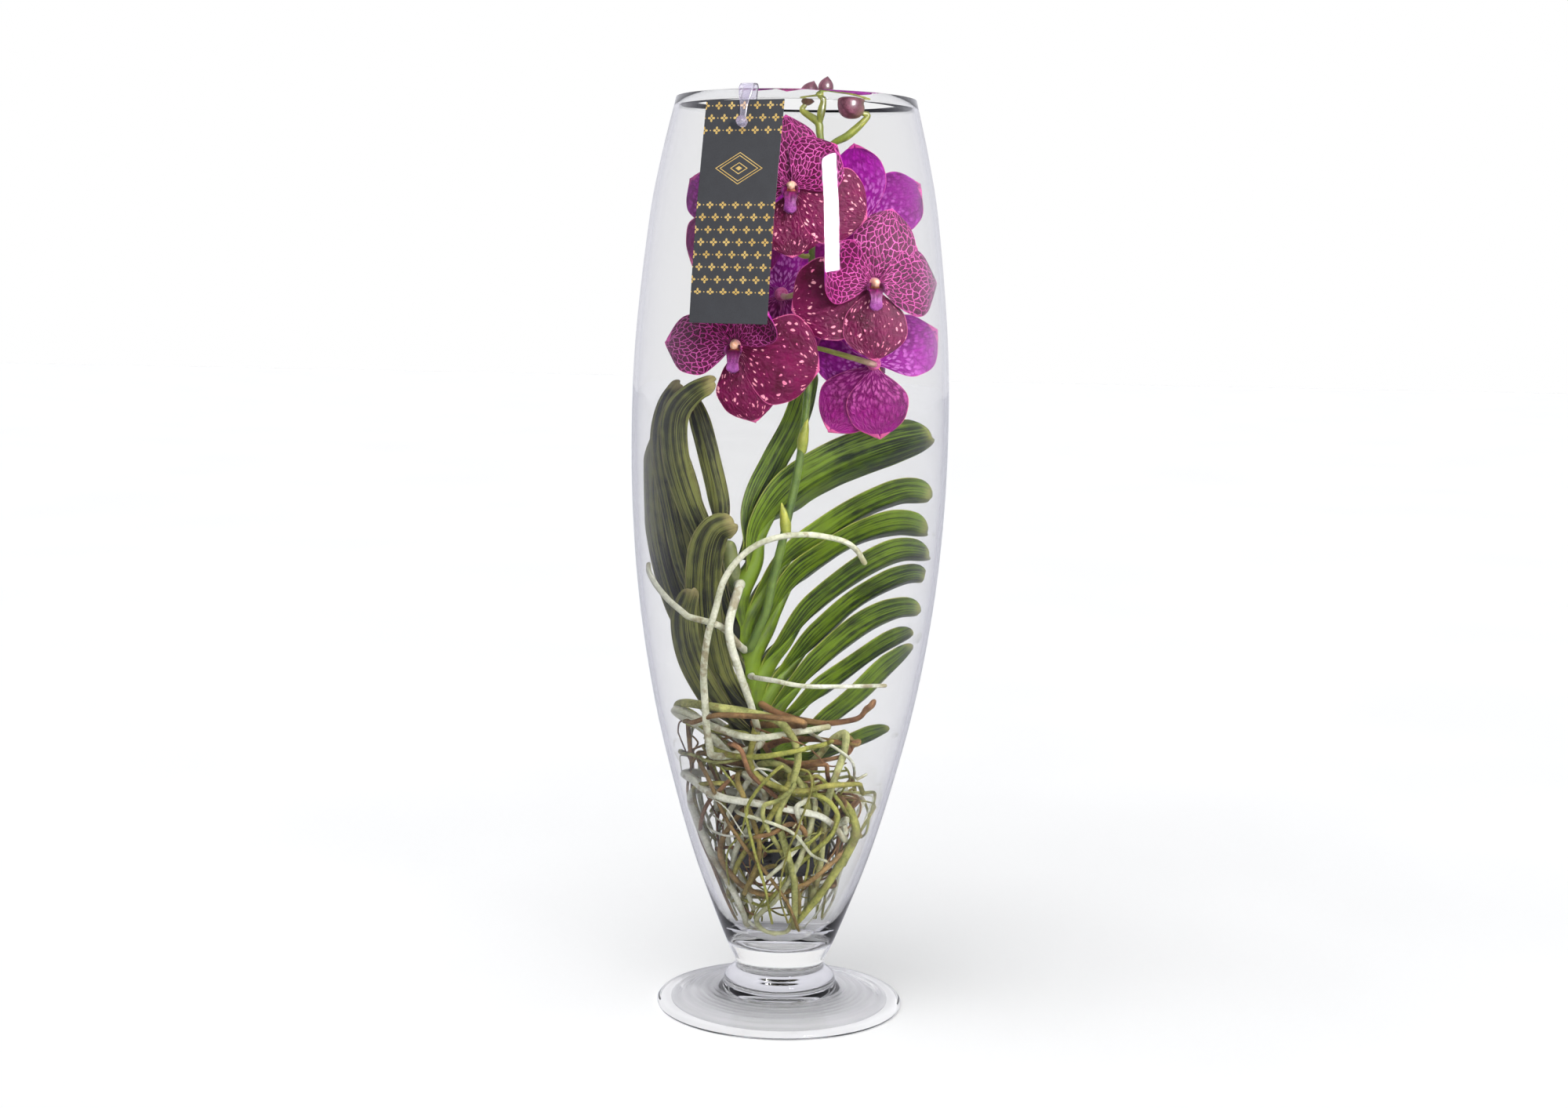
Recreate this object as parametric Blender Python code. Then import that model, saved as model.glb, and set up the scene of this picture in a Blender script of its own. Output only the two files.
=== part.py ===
"""A vanda orchid that stands bare-rooted in a tall footed glass vase.

Run with: blender --background --python part.py
Metres, +Z up. The origin is the middle of the foot's underside, and -Y is the front.
Routes and profiles are written in millimetres, and mm() turns them into metres.
"""
import math
import random

import bmesh
import bpy
from mathutils import Vector

# Driving dimensions
VASE_HEIGHT = 0.600
VASE_SIDES = 32
TOUCH_GAP = 0.0004        # the gap between two pieces that rest against each other
GLASS_MARGIN = 0.0010     # what stands in the vase stays this far inside its nominal wall
LEAF_THICKNESS = 0.0016
PETAL_THICKNESS = 0.0008
CARD_THICKNESS = 0.0008

for leftover in list(bpy.data.objects):
    bpy.data.objects.remove(leftover)


# Shared helpers


def mm(x, y, z):
    """A point given in millimetres, in metres."""
    return Vector((x, y, z)) * 0.001


def material(name, colour, roughness, metallic=0.0):
    made = bpy.data.materials.get(name)
    if made is None:
        made = bpy.data.materials.new(name)
        made.use_nodes = True
        surface = made.node_tree.nodes["Principled BSDF"]
        surface.inputs["Base Color"].default_value = (*colour, 1.0)
        surface.inputs["Roughness"].default_value = roughness
        surface.inputs["Metallic"].default_value = metallic
    return made


def link(name, mesh, look):
    """A new object of this mesh, in this material."""
    made = bpy.data.objects.new(name, mesh)
    mesh.materials.clear()
    mesh.materials.append(look)
    bpy.context.scene.collection.objects.link(made)
    return made


def evaluated_mesh(obj):
    """The object's shape with its modifiers applied, as a mesh of its own."""
    bpy.context.view_layer.update()
    graph = bpy.context.evaluated_depsgraph_get()
    return bpy.data.meshes.new_from_object(obj.evaluated_get(graph))


def between(low, high, share):
    return low + (high - low) * share


def ease(share):
    """0 to 1 with a soft start and a soft end."""
    share = min(1.0, max(0.0, share))
    return share * share * (3 - 2 * share)


def along(table, key):
    """The value at key in a list of (key, value) pairs that rises by key."""
    for (low, first), (high, second) in zip(table, table[1:]):
        if key <= high:
            return between(first, second, max(0.0, (key - low) / (high - low)))
    return table[-1][1]


def smooth_route(points, count):
    """count points at even steps along a smooth curve through the given points."""
    ends = [points[0] * 2 - points[1], *points, points[-1] * 2 - points[-2]]
    steps = 16
    fine = []
    for a, b, c, d in zip(ends, ends[1:], ends[2:], ends[3:]):
        for step in range(steps):
            t = step / steps
            fine.append(0.5 * (2 * b + (c - a) * t + (2 * a - 5 * b + 4 * c - d) * t * t
                               + (3 * b - a - 3 * c + d) * t ** 3))
    fine.append(points[-1].copy())
    reach = [0.0]
    for first, second in zip(fine, fine[1:]):
        reach.append(reach[-1] + (second - first).length)
    route, place = [], 0
    for index in range(count):
        wanted = reach[-1] * index / (count - 1)
        while place < len(fine) - 2 and reach[place + 1] < wanted:
            place += 1
        span = max(reach[place + 1] - reach[place], 1e-9)
        route.append(fine[place].lerp(fine[place + 1], (wanted - reach[place]) / span))
    return route


def tangents(route):
    ahead = [*route[1:], route[-1] * 2 - route[-2]]
    behind = [route[0] * 2 - route[1], *route[:-1]]
    return [(far - near).normalized() for far, near in zip(ahead, behind)]


def tube(name, route, radii, look, sides=6):
    """A closed tube along a route, as a curve with a round bevel that becomes a mesh."""
    curve = bpy.data.curves.new(name, "CURVE")
    curve.dimensions = "3D"
    curve.bevel_depth = 1.0
    curve.bevel_resolution = sides // 2 - 2
    curve.use_fill_caps = True
    spline = curve.splines.new("POLY")
    spline.points.add(len(route) - 1)
    for point, place, radius in zip(spline.points, route, radii):
        point.co = (*place, 1.0)
        point.radius = radius
    guide = bpy.data.objects.new(name, curve)
    bpy.context.scene.collection.objects.link(guide)
    mesh = evaluated_mesh(guide)
    bpy.data.objects.remove(guide)
    body = bmesh.new()
    body.from_mesh(mesh)
    bmesh.ops.remove_doubles(body, verts=body.verts, dist=1e-6)
    bmesh.ops.recalc_face_normals(body, faces=body.faces)
    body.to_mesh(mesh)
    body.free()
    mesh.shade_smooth()
    return link(name, mesh, look)


def fused(name, members, look):
    """One body out of members that are sunk into each other."""
    first, *others = members
    group = bpy.data.collections.new(name)
    bpy.context.scene.collection.children.link(group)
    for other in others:
        group.objects.link(other)
    join = first.modifiers.new("join", "BOOLEAN")
    join.operation = "UNION"
    join.solver = "MANIFOLD"
    join.operand_type = "COLLECTION"
    join.collection = group
    mesh = evaluated_mesh(first)
    for member in members:
        bpy.data.objects.remove(member)
    bpy.data.collections.remove(group)
    return link(name, mesh, look)


def turned(name, profile, sides, look):
    """A solid of revolution from a closed half profile of (radius, height), in millimetres."""
    body = bmesh.new()
    corners = [body.verts.new(mm(radius, 0, height)) for radius, height in profile]
    edges = [body.edges.new(pair) for pair in zip(corners, corners[1:])]
    bmesh.ops.spin(body, geom=corners + edges, axis=(0, 0, 1), cent=(0, 0, 0),
                   angle=math.tau, steps=sides, use_merge=True)
    bmesh.ops.remove_doubles(body, verts=body.verts, dist=1e-6)
    bmesh.ops.recalc_face_normals(body, faces=body.faces)
    mesh = bpy.data.meshes.new(name)
    body.to_mesh(mesh)
    body.free()
    mesh.shade_smooth()
    return link(name, mesh, look)


def sheet(name, rows, thickness, look):
    """A thin solid over rows of points. A row of one point closes that end to a tip."""
    body = bmesh.new()
    lines = [[body.verts.new(point) for point in row] for row in rows]
    for near, far in zip(lines, lines[1:]):
        if len(far) == 1:
            for a, b in zip(near, near[1:]):
                body.faces.new((a, b, far[0]))
            continue
        for a, b, c, d in zip(near, near[1:], far[1:], far):
            body.faces.new((a, b, c))
            body.faces.new((a, c, d))
    mesh = bpy.data.meshes.new(name)
    body.to_mesh(mesh)
    body.free()
    flat = bpy.data.objects.new(name, mesh)
    bpy.context.scene.collection.objects.link(flat)
    thicken = flat.modifiers.new("thickness", "SOLIDIFY")
    thicken.thickness = thickness
    thicken.offset = 0.0
    thicken.use_even_offset = False
    solid = evaluated_mesh(flat)
    bpy.data.objects.remove(flat)
    solid.shade_smooth()
    return link(name, solid, look)


# The vase: one piece of clear glass, mouth to foot

FOOT_PROFILE = [(0, 8.0), (34, 7.0), (60, 3.0), (71, 0), (80, 0), (82, 1.2), (82, 3.0),
                (79, 4.4), (60, 8.4), (42, 12.6), (36.6, 15.0)]
COLLAR_PROFILE = [(37.3, 17.6), (36.4, 20.6), (33.0, 23.6), (29.6, 25.8), (29.2, 28.6)]
BOWL_OUTSIDE = [(35.2, 42), (38.6, 50), (46.5, 70), (57.6, 100), (70.0, 140), (84.7, 200),
                (96.0, 262), (101.7, 320), (103.5, 380), (102.0, 445), (94.2, 520),
                (87.0, 560), (78.0, 598.4)]
RIM = [(77.0, 600), (75.6, 600)]
BOWL_INSIDE = [(0, 43.0), (22, 44.6), (33.4, 54), (42.0, 70), (53.8, 100), (66.6, 140),
               (81.5, 200), (93.0, 262), (98.7, 320), (100.5, 380), (99.0, 445), (91.3, 520),
               (84.3, 560), (75.0, 598.4)]


def glass_inside(height):
    """The bowl's inner radius at a height, both in metres."""
    return along([(z * 0.001, r * 0.001) for r, z in BOWL_INSIDE], height)


def kept_inside(point, clearance):
    """The point, drawn towards the vase's axis if it would touch the glass."""
    if point.z > VASE_HEIGHT:
        return point
    reach = glass_inside(point.z) - GLASS_MARGIN - clearance
    wide = math.hypot(point.x, point.y)
    if wide <= reach:
        return point
    return Vector((point.x * reach / wide, point.y * reach / wide, point.z))


def make_vase():
    clear_glass = material("clear_glass", (0.93, 0.95, 0.97), 0.02)
    outside = FOOT_PROFILE + COLLAR_PROFILE + BOWL_OUTSIDE + RIM
    return turned("vase", outside + BOWL_INSIDE[::-1], VASE_SIDES, clear_glass)


# The net pot: a small black basket that the young plant was grown in

POT_TOP_RADIUS = 37.0
POT_FLOOR_RADIUS = 29.0
POT_FLOOR_Z = 94.0
POT_TOP_Z = 137.0
POT_WALL = 1.6
POT_SLOTS = 8
POT_SIDES = 24


def make_net_pot():
    black_plastic = material("black_plastic", (0.012, 0.012, 0.014), 0.5)
    slope = (POT_TOP_RADIUS - POT_FLOOR_RADIUS) / (POT_TOP_Z - POT_FLOOR_Z)
    inner_floor = POT_FLOOR_Z + POT_WALL
    profile = [(9, POT_FLOOR_Z), (POT_FLOOR_RADIUS, POT_FLOOR_Z), (POT_TOP_RADIUS, POT_TOP_Z),
               (POT_TOP_RADIUS - POT_WALL, POT_TOP_Z),
               (POT_FLOOR_RADIUS + slope * POT_WALL - POT_WALL, inner_floor), (9, inner_floor),
               (9, POT_FLOOR_Z)]
    pot = turned("net_pot", profile, POT_SIDES, black_plastic)
    slot_width, slot_low, slot_high = mm(11.5, 102, 124)
    for index in range(POT_SLOTS):
        cutter_mesh = bpy.data.meshes.new("slot")
        body = bmesh.new()
        bmesh.ops.create_cube(body, size=1.0)
        body.to_mesh(cutter_mesh)
        body.free()
        cutter = bpy.data.objects.new(f"pot_slot_{index}", cutter_mesh)
        bpy.context.scene.collection.objects.link(cutter)
        turn = math.tau * (index + 0.5) / POT_SLOTS
        cutter.scale = (POT_WALL * 0.012, slot_width, slot_high - slot_low)
        cutter.location = (math.cos(turn) * 0.033, math.sin(turn) * 0.033,
                           (slot_low + slot_high) / 2)
        cutter.rotation_euler = (0, 0, turn)
        cutter.hide_render = True
        cutter.display_type = "WIRE"
        cut = pot.modifiers.new(f"slot_{index}", "BOOLEAN")
        cut.operation = "DIFFERENCE"
        cut.object = cutter
    return pot


# The stem: leaning to the left as it climbs, hidden by the leaf bases

STEM_ROUTE = [(1, 2, 96.2), (0, 2, 110), (-8, 2, 140), (-18, 0, 200), (-29, -2, 255),
              (-37, -3, 298), (-39, -3, 308)]
STEM_RADIUS = 0.0055


def stem_at(height):
    """The stem's middle at a height in millimetres."""
    return mm(along([(z, x) for x, y, z in STEM_ROUTE], height),
              along([(z, y) for x, y, z in STEM_ROUTE], height), height)


def make_stem():
    stem_green = material("stem_green", (0.10, 0.16, 0.04), 0.55)
    route = smooth_route([mm(*point) for point in STEM_ROUTE], 12)
    radii = [STEM_RADIUS * between(1.12, 0.95, index / 11) for index in range(12)]
    return tube("stem", route, radii, stem_green, sides=10)


# The leaves: folded straps in two ranks, with a notched tip

LEAF_STEPS = 10
RIGHT_SIDE = Vector((0.97, 0.22, 0)).normalized()
LEFT_SIDE = Vector((-0.90, -0.44, 0)).normalized()
LEAF_SEAT = 0.0092        # from the stem's middle to the fold of a leaf's base
LEAF_BASE_WIDTH = 14.5    # a blade is no wider than this at its base, in millimetres
LEAF_BASE_SHARE = 0.58    # and no wider than this share of its full width

# name: height on the stem, width, turn of the blade to the front in degrees, route of the midrib
RIGHT_LEAVES = {
    "leaf_right_01": (300, 20, 80, [(-24, 4, 333), (-9, 8, 364), (5, 12, 392), (15, 16, 427)]),
    "leaf_right_02": (283, 40, 62, [(-16, 2, 320), (6, 6, 344), (28, 8, 358), (48, 10, 367),
                                    (73, 12, 376), (97, 12, 383)]),
    "leaf_right_03": (262, 32, 46, [(-2, 3, 296), (21, 6, 312), (48, 10, 330), (70, 13, 340),
                                    (83, 14, 343), (97, 16, 341)]),
    "leaf_right_04": (240, 31, 44, [(3, 5, 281), (29, 9, 302), (52, 12, 315), (76, 15, 321),
                                    (96, 18, 318)]),
    "leaf_right_05": (221, 30, 46, [(-1, -1, 243), (18, -2, 266), (39, -2, 284), (60, -1, 298),
                                    (78, 0, 305), (96, 0, 304)]),
    "leaf_right_06": (205, 28, 46, [(4, 6, 228), (25, 8, 249), (45, 10, 268), (66, 12, 281),
                                    (84, 14, 288), (94, 16, 286)]),
    "leaf_right_07": (190, 31, 46, [(15, 2, 221), (35, 4, 240), (56, 6, 256), (77, 8, 265),
                                    (91, 10, 265)]),
    "leaf_right_08": (177, 28, 44, [(20, 8, 206), (41, 12, 221), (62, 16, 236), (80, 20, 246),
                                    (89, 22, 250)]),
    "leaf_right_09": (165, 29, 46, [(16, 3, 180), (34, 5, 193), (52, 6, 208), (67, 8, 223),
                                    (80, 10, 235), (87, 12, 243)]),
    "leaf_right_10": (155, 22, 44, [(17, 6, 163), (32, 12, 168), (48, 16, 174), (62, 20, 179),
                                    (73, 22, 184)]),
}
LEFT_LEAVES = {
    "leaf_left_01": (300, 15, 70, [(-45, -12, 335), (-52, -15, 368), (-60, -14, 396),
                                   (-66, -13, 408)]),
    "leaf_left_02": (252, 18, 65, [(-45, -17, 282), (-53, -26, 312), (-64, -38, 341), (-72, -48, 371),
                                   (-72, -52, 397), (-61, -55, 412), (-46, -57, 420)]),
    "leaf_left_03": (228, 16, 60, [(-50, -10, 258), (-66, -12, 293), (-76, -18, 335), (-83, -22, 373),
                                   (-80, -25, 401), (-70, -28, 418)]),
    "leaf_left_04": (206, 20, 65, [(-54, -3, 232), (-76, 6, 277), (-87, 8, 319),
                                   (-90, 8, 355), (-86, 7, 376), (-77, 6, 388)]),
    "leaf_left_05": (188, 25, 75, [(-44, -20, 226), (-52, -34, 267), (-52, -49, 303),
                                   (-46, -57, 324), (-32, -61, 331)]),
    "leaf_left_06": (277, 14, 60, [(-55, -7, 294), (-60, -6, 310), (-64, -5, 340), (-72, -5, 366),
                                   (-79, -6, 384)]),
    "leaf_left_07": (172, 18, 70, [(-40, -22, 200), (-59, -42, 236), (-65, -47, 266),
                                   (-60, -52, 288)]),
}


def leaf_rows(seat, side, width, face, route):
    """Rows of three points across a leaf: an edge, the midrib and the other edge."""
    start = seat + side * LEAF_SEAT
    line = smooth_route([start, start + side * 0.003 + Vector((0, 0, 0.011)),
                         *[mm(*point) for point in route]], LEAF_STEPS)
    rows = []
    steps = len(line) - 1
    base = min(LEAF_BASE_SHARE, LEAF_BASE_WIDTH / width)
    across_base = Vector((0, 0, 1)).cross(side).normalized()
    for index, (place, heading) in enumerate(zip(line, tangents(line))):
        share = index / steps
        turn = math.radians(face) * ease(share * 2.4)
        across = (across_base - heading * across_base.dot(heading)).normalized()
        lift = heading.cross(across).normalized()
        blade = (across * math.cos(turn) + lift * math.sin(turn) * -across_base.y).normalized()
        crease = heading.cross(blade).normalized()
        fold = math.radians(between(45, 22, ease(share * 2.5)))
        half = width * 0.0005 * between(base, 1.0, ease(share * 2.4)) * between(
            1.0, 0.62, ease((share - 0.72) * 3.6))
        out, up = half * math.cos(fold), half * math.sin(fold)
        rows.append([place + blade * out + crease * up, place, place - blade * out + crease * up])
    tip = (line[-1] - line[-2]).normalized() * width * 0.00016
    rows[-1][0] += tip
    rows[-1][2] += tip * 0.4
    clearance = LEAF_THICKNESS / 2
    return [[kept_inside(point, clearance) for point in row] for row in rows]


def make_leaves():
    leaf_green = material("leaf_green", (0.08, 0.17, 0.02), 0.42)
    for leaves, side in ((RIGHT_LEAVES, RIGHT_SIDE), (LEFT_LEAVES, LEFT_SIDE)):
        for name, (height, width, face, route) in leaves.items():
            rows = leaf_rows(stem_at(height), side, width, face, route)
            sheet(name, rows, LEAF_THICKNESS, leaf_green)


# The aerial roots: bare, silver-grey, each free of the tangle below

# name: radius in millimetres, route from the stem to the tip
AERIAL_ROOTS = {
    "aerial_root_arch": (2.5, [(-14.5, -6.2, 184), (-18, -26, 180), (-45, -56, 180), (-56, -70, 204),
                               (-55, -74, 240), (-46, -77, 270), (-39, -79, 296), (-27, -81, 313),
                               (-10, -82, 323), (12, -82, 326), (32, -80, 323), (42, -76, 317),
                               (48, -72, 308)]),
    "aerial_root_left": (2.4, [(-27, -8.6, 241), (-31, -28, 248), (-42, -58, 264), (-64, -66, 272),
                               (-79, -55, 280), (-87, -38, 289), (-90, -20, 298)]),
    "aerial_root_thick": (3.4, [(-32, -8.5, 284), (-30, -28, 287), (-31, -46, 286), (-36, -62, 262),
                                (-29, -58, 235), (-22, -52, 214), (-17, -46, 196)]),
    "aerial_root_right": (1.8, [(-21.5, -7.0, 224), (-22, -36, 228), (-8, -60, 230), (14, -62, 227),
                                (45, -52, 226), (64, -42, 225)]),
}


def make_aerial_roots():
    silver_root = material("silver_root", (0.55, 0.54, 0.44), 0.75)
    for name, (radius, route) in AERIAL_ROOTS.items():
        count = 18 if len(route) > 8 else 13
        line = [kept_inside(point, radius * 0.001) for point in
                smooth_route([mm(*point) for point in route], count)]
        radii = [radius * 0.001 * between(1.0, 0.66, index / (count - 1)) for index in range(count)]
        tube(name, line, radii, silver_root)


# The root tangle: thick roots placed by hand and finer ones by rule, all grown from one crown

# each root's radius in millimetres and its route from the crown to its tip
MAIN_ROOTS = [
    (2.9, [(-12, -8, 143), (-50, -30, 190), (-74, -34, 205), (-60, -44, 204), (-43, -51, 197),
           (-20, -67, 194), (0, -63, 196), (28, -51, 199)]),
    (3.0, [(-14, 0, 142), (-50, 0, 186), (-70, -26, 207), (-54, -52, 212), (-38, -60, 211),
           (-8, -66, 207), (5, -65, 196), (9, -62, 183), (7, -60, 167), (1, -59, 154),
           (-3, -57, 144), (1, -54, 125), (7, -47, 103), (9, -38, 80), (9, -22, 58)]),
    (3.0, [(-12, 4, 141), (-50, 2, 155), (-66, -28, 161), (-58, -44, 157), (-40, -52, 152),
           (-14, -57, 149), (16, -54, 143), (29, -47, 137), (40, -37, 122)]),
    (2.6, [(-3, -7, 143), (22, -34, 176), (38, -44, 196), (38, -50, 180), (31, -50, 160),
           (27, -43, 133), (25, -36, 105), (20, -24, 80)]),
    (3.1, [(-2, -2, 141), (36, -24, 146), (48, -33, 124), (38, -33, 105), (25, -30, 83),
           (9, -21, 59)]),
    (2.9, [(-10, 0, 141), (-56, -14, 148), (-60, -20, 135), (-52, -25, 118), (-37, -28, 95),
           (-27, -22, 74), (-22, -14, 56)]),
    (1.9, [(-8, -6, 141), (-24, -40, 142), (-40, -34, 112), (-21, -32, 86), (2, -37, 86),
           (20, -37, 95), (37, -33, 110), (51, -20, 121)]),
    (1.9, [(-8, -8, 143), (-30, -50, 168), (-14, -52, 120), (-24, -36, 84), (-14, -38, 100),
           (0, -40, 104), (10, -38, 92), (12, -30, 70)]),
    (2.3, [(-4, -5, 143), (20, -40, 152), (12, -48, 112), (-4, -36, 80), (-15, -24, 66),
           (-12, -20, 54), (4, -18, 52), (8, -22, 62)]),
]
CROWN_HEIGHTS = (118, 147)
CROWN_RADIUS = 0.0115
RULE_ROOTS = 16
ROOT_SEED = 11
ROOT_SEAT = 0.142         # the height at which the finer roots leave the crown
LEAF_WAY = math.radians(15)   # the right-hand leaves leave the stem this way round
POT_CLEAR = 0.0378            # roots pass the pot outside this radius
POT_REACH = (0.0925, 0.1385)


def clear_of_pot(point, radius):
    """The point, moved off the net pot's wall if it would touch it."""
    low, high = POT_REACH
    wide = math.hypot(point.x, point.y)
    reach = POT_CLEAR + radius
    if not low - radius < point.z < high + radius or wide >= reach:
        return point
    if point.z > high - 0.008:
        return Vector((point.x, point.y, high + radius))
    if point.z < low + 0.004:
        return Vector((point.x, point.y, low - radius))
    return Vector((point.x * reach / wide, point.y * reach / wide, point.z))


def rule_root(draw):
    """A finer root: out over the pot's rim, then down round the inside of the glass."""
    start, turn = draw.uniform(0, math.tau), draw.uniform(-2.2, 2.2)
    away = 0.5 - 0.5 * math.cos(start - LEAF_WAY)
    lift = 0.060 * away * draw.uniform(0.3, 1.0)
    bottom = draw.uniform(0.052, 0.115)
    inset, phase = draw.uniform(0.68, 0.95), draw.uniform(0, math.tau)
    radius = draw.choice((0.0011, 0.0013, 0.0016, 0.0021))
    route = []
    steps = 9
    for index in range(steps):
        share = index / (steps - 1)
        fall = max(0.0, share - 0.375) / 0.625
        height = between(ROOT_SEAT, bottom, fall ** 1.2) + lift * math.sin(math.pi * share ** 0.7)
        spread = inset + 0.1 * math.sin(phase + 5 * share)
        wide = between(0.006, glass_inside(height) * spread, ease(share * 3))
        angle = start + turn * share * away + 0.2 * math.sin(phase + 9 * share) * share
        middle = stem_at(height * 1000) * max(0.0, 1 - share * 3)
        route.append(Vector((middle.x + wide * math.cos(angle), middle.y + wide * math.sin(angle),
                             height)))
    return radius, route


def root_line(radius, route, count):
    line = smooth_route(route, count)
    return [line[0], *(kept_inside(clear_of_pot(point, radius), radius) for point in line[1:])]


def make_roots():
    silver_root = material("silver_root", (0.55, 0.54, 0.44), 0.75)
    draw = random.Random(ROOT_SEED)
    roots = [(radius * 0.001, [mm(*point) for point in route]) for radius, route in MAIN_ROOTS]
    roots += [rule_root(draw) for _ in range(RULE_ROOTS)]
    low, high = CROWN_HEIGHTS
    crown_line = smooth_route([stem_at(low), stem_at((low + high) / 2), stem_at(high)], 5)
    swell = (0.72, 0.95, 1.0, 0.95, 0.78)
    members = [tube("crown", crown_line, [CROWN_RADIUS * share for share in swell], silver_root,
                    sides=12)]
    for index, (radius, route) in enumerate(roots):
        count = 16 if index < len(MAIN_ROOTS) else 10
        line = root_line(radius, route, count)
        radii = [radius * between(1.0, 0.7, step / (count - 1)) for step in range(count)]
        members.append(tube(f"root_{index}", line, radii, silver_root))
    roots = fused("roots", members, silver_root)
    stem_way = tube("stem_way", smooth_route([mm(*point) for point in STEM_ROUTE], 12),
                    [STEM_RADIUS * 1.12 + TOUCH_GAP] * 12, silver_root, sides=10)
    stem_way.hide_render = True
    stem_way.display_type = "WIRE"
    cut = roots.modifiers.new("stem_way", "BOOLEAN")
    cut.operation = "DIFFERENCE"
    cut.solver = "MANIFOLD"
    cut.object = stem_way
    return roots


# The flower spike: a green stalk with small sheaths, forked to the buds at its top

SPIKE_ROUTE = [(-23.5, -10, 243), (-14, -12, 266), (-9, -13, 290), (-1, -13, 326), (7, -11, 370),
               (11, -8, 411), (12, -4, 442), (12, 0, 472), (12, 0, 503), (13, -1, 533),
               (16, -4, 556), (19, -8, 571)]
SPIKE_RADIUS = (3.1, 1.9)
SPIKE_SHEATHS = [(325, -0.9), (380, 0.9)]
FORK_RADII = (0.0018, 0.0021, 0.0026, 0.0026, 0.0021, 0.0015)
# name: middle in millimetres, length, width, lean of the tip, and the fork that holds the bud
BUDS = {
    "bud_1": ((8.2, -3, 603.5), 17, 12, (0.34, 0, 0.94),
              [(18, -8, 566), (15.5, -8, 577), (14, -7, 585)]),
    "bud_2": ((18.6, -11.5, 606.6), 14.5, 9.6, (0.15, -0.2, 1),
              [(14.8, -7.5, 583), (16.0, -9, 591)]),
    "bud_3": ((34.5, -15.5, 595), 20, 16.5, (-0.75, -0.25, 0.42),
              [(18, -8, 566), (25, -10, 572), (34, -12.5, 577)]),
}
BUD_PROFILE = [(0.0, 0.0), (0.10, 0.52), (0.34, 0.92), (0.58, 1.0), (0.80, 0.68), (1.0, 0.0)]


def spike_at(height):
    return mm(along([(z, x) for x, y, z in SPIKE_ROUTE], height),
              along([(z, y) for x, y, z in SPIKE_ROUTE], height), height)


def make_spike():
    stalk_green = material("stalk_green", (0.13, 0.20, 0.03), 0.5)
    count = 20
    thick, thin = SPIKE_RADIUS
    line = smooth_route([mm(*point) for point in SPIKE_ROUTE], count)
    radii = [0.001 * between(thick, thin, index / (count - 1)) for index in range(count)]
    members = [tube("stalk", line, radii, stalk_green, sides=8)]
    for height, side in SPIKE_SHEATHS:
        foot = spike_at(height)
        line = [foot + mm(0, 0, -6), foot + mm(side * 0.8, -0.6, 2), foot + mm(side * 2.4, -1.6, 9),
                foot + mm(side * 3.6, -2.2, 14)]
        members.append(tube("sheath", line, [0.0033, 0.0038, 0.0026, 0.0007], stalk_green))
    for middle, length, width, lean, fork in BUDS.values():
        lean = Vector(lean).normalized()
        foot = mm(*middle) - lean * (length * 0.0005 + TOUCH_GAP)
        line = smooth_route([*(mm(*point) for point in fork), foot - lean * 0.004, foot], 6)
        members.append(tube("fork", line, FORK_RADII, stalk_green))
    return fused("flower_spike", members, stalk_green)


# The buds at the spike's tip, each on its own fork


def make_buds():
    bud_purple = material("bud_purple", (0.16, 0.03, 0.07), 0.45)
    for name, (middle, length, width, lean, _) in BUDS.items():
        profile = [(max(0.0, share) * width / 2, (at - 0.5) * length) for at, share in BUD_PROFILE]
        bud = turned(name, profile, 10, bud_purple)
        bud.rotation_euler = Vector(lean).to_track_quat("Z", "Y").to_euler()
        bud.location = mm(*middle)


# The blooms: five tepals round a column and a lip, each on its own stalk from the spike

# name: middle, way it faces, turn clockwise in degrees, size, height where its stalk leaves
BLOOMS = {
    "bloom_1": ((51, -46, 481), (0.10, -0.97, 0.12), 0, 1.0, 452),
    "bloom_2": ((-2, -50, 540), (-0.06, -0.97, 0.14), 0, 1.0, 521),
    "bloom_3": ((-37, 6, 526), (-0.48, 0.86, 0.15), -6, 0.92, 499),
    "bloom_4": ((-35, -50, 441), (-0.16, -0.97, 0.06), 0, 1.0, 420),
    "bloom_5": ((54, -8, 430), (0.22, 0.95, -0.10), 0, 1.0, 440),
    "bloom_6": ((47, 22, 521), (0.40, 0.90, 0.10), 0, 1.0, 510),
    "bloom_7": ((-8, 36, 474), (-0.25, 0.95, 0.08), 10, 0.95, 476),
}
# angle from the top, length, half width, how far the tip bends to the front
TEPALS = {
    "dorsal_sepal": (0, 46, 19, -1.5),
    "left_petal": (-66, 42, 20, 0),
    "right_petal": (66, 42, 20, 0),
    "left_sepal": (-145, 48, 23, -2),
    "right_sepal": (145, 48, 23, -2),
}
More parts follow.
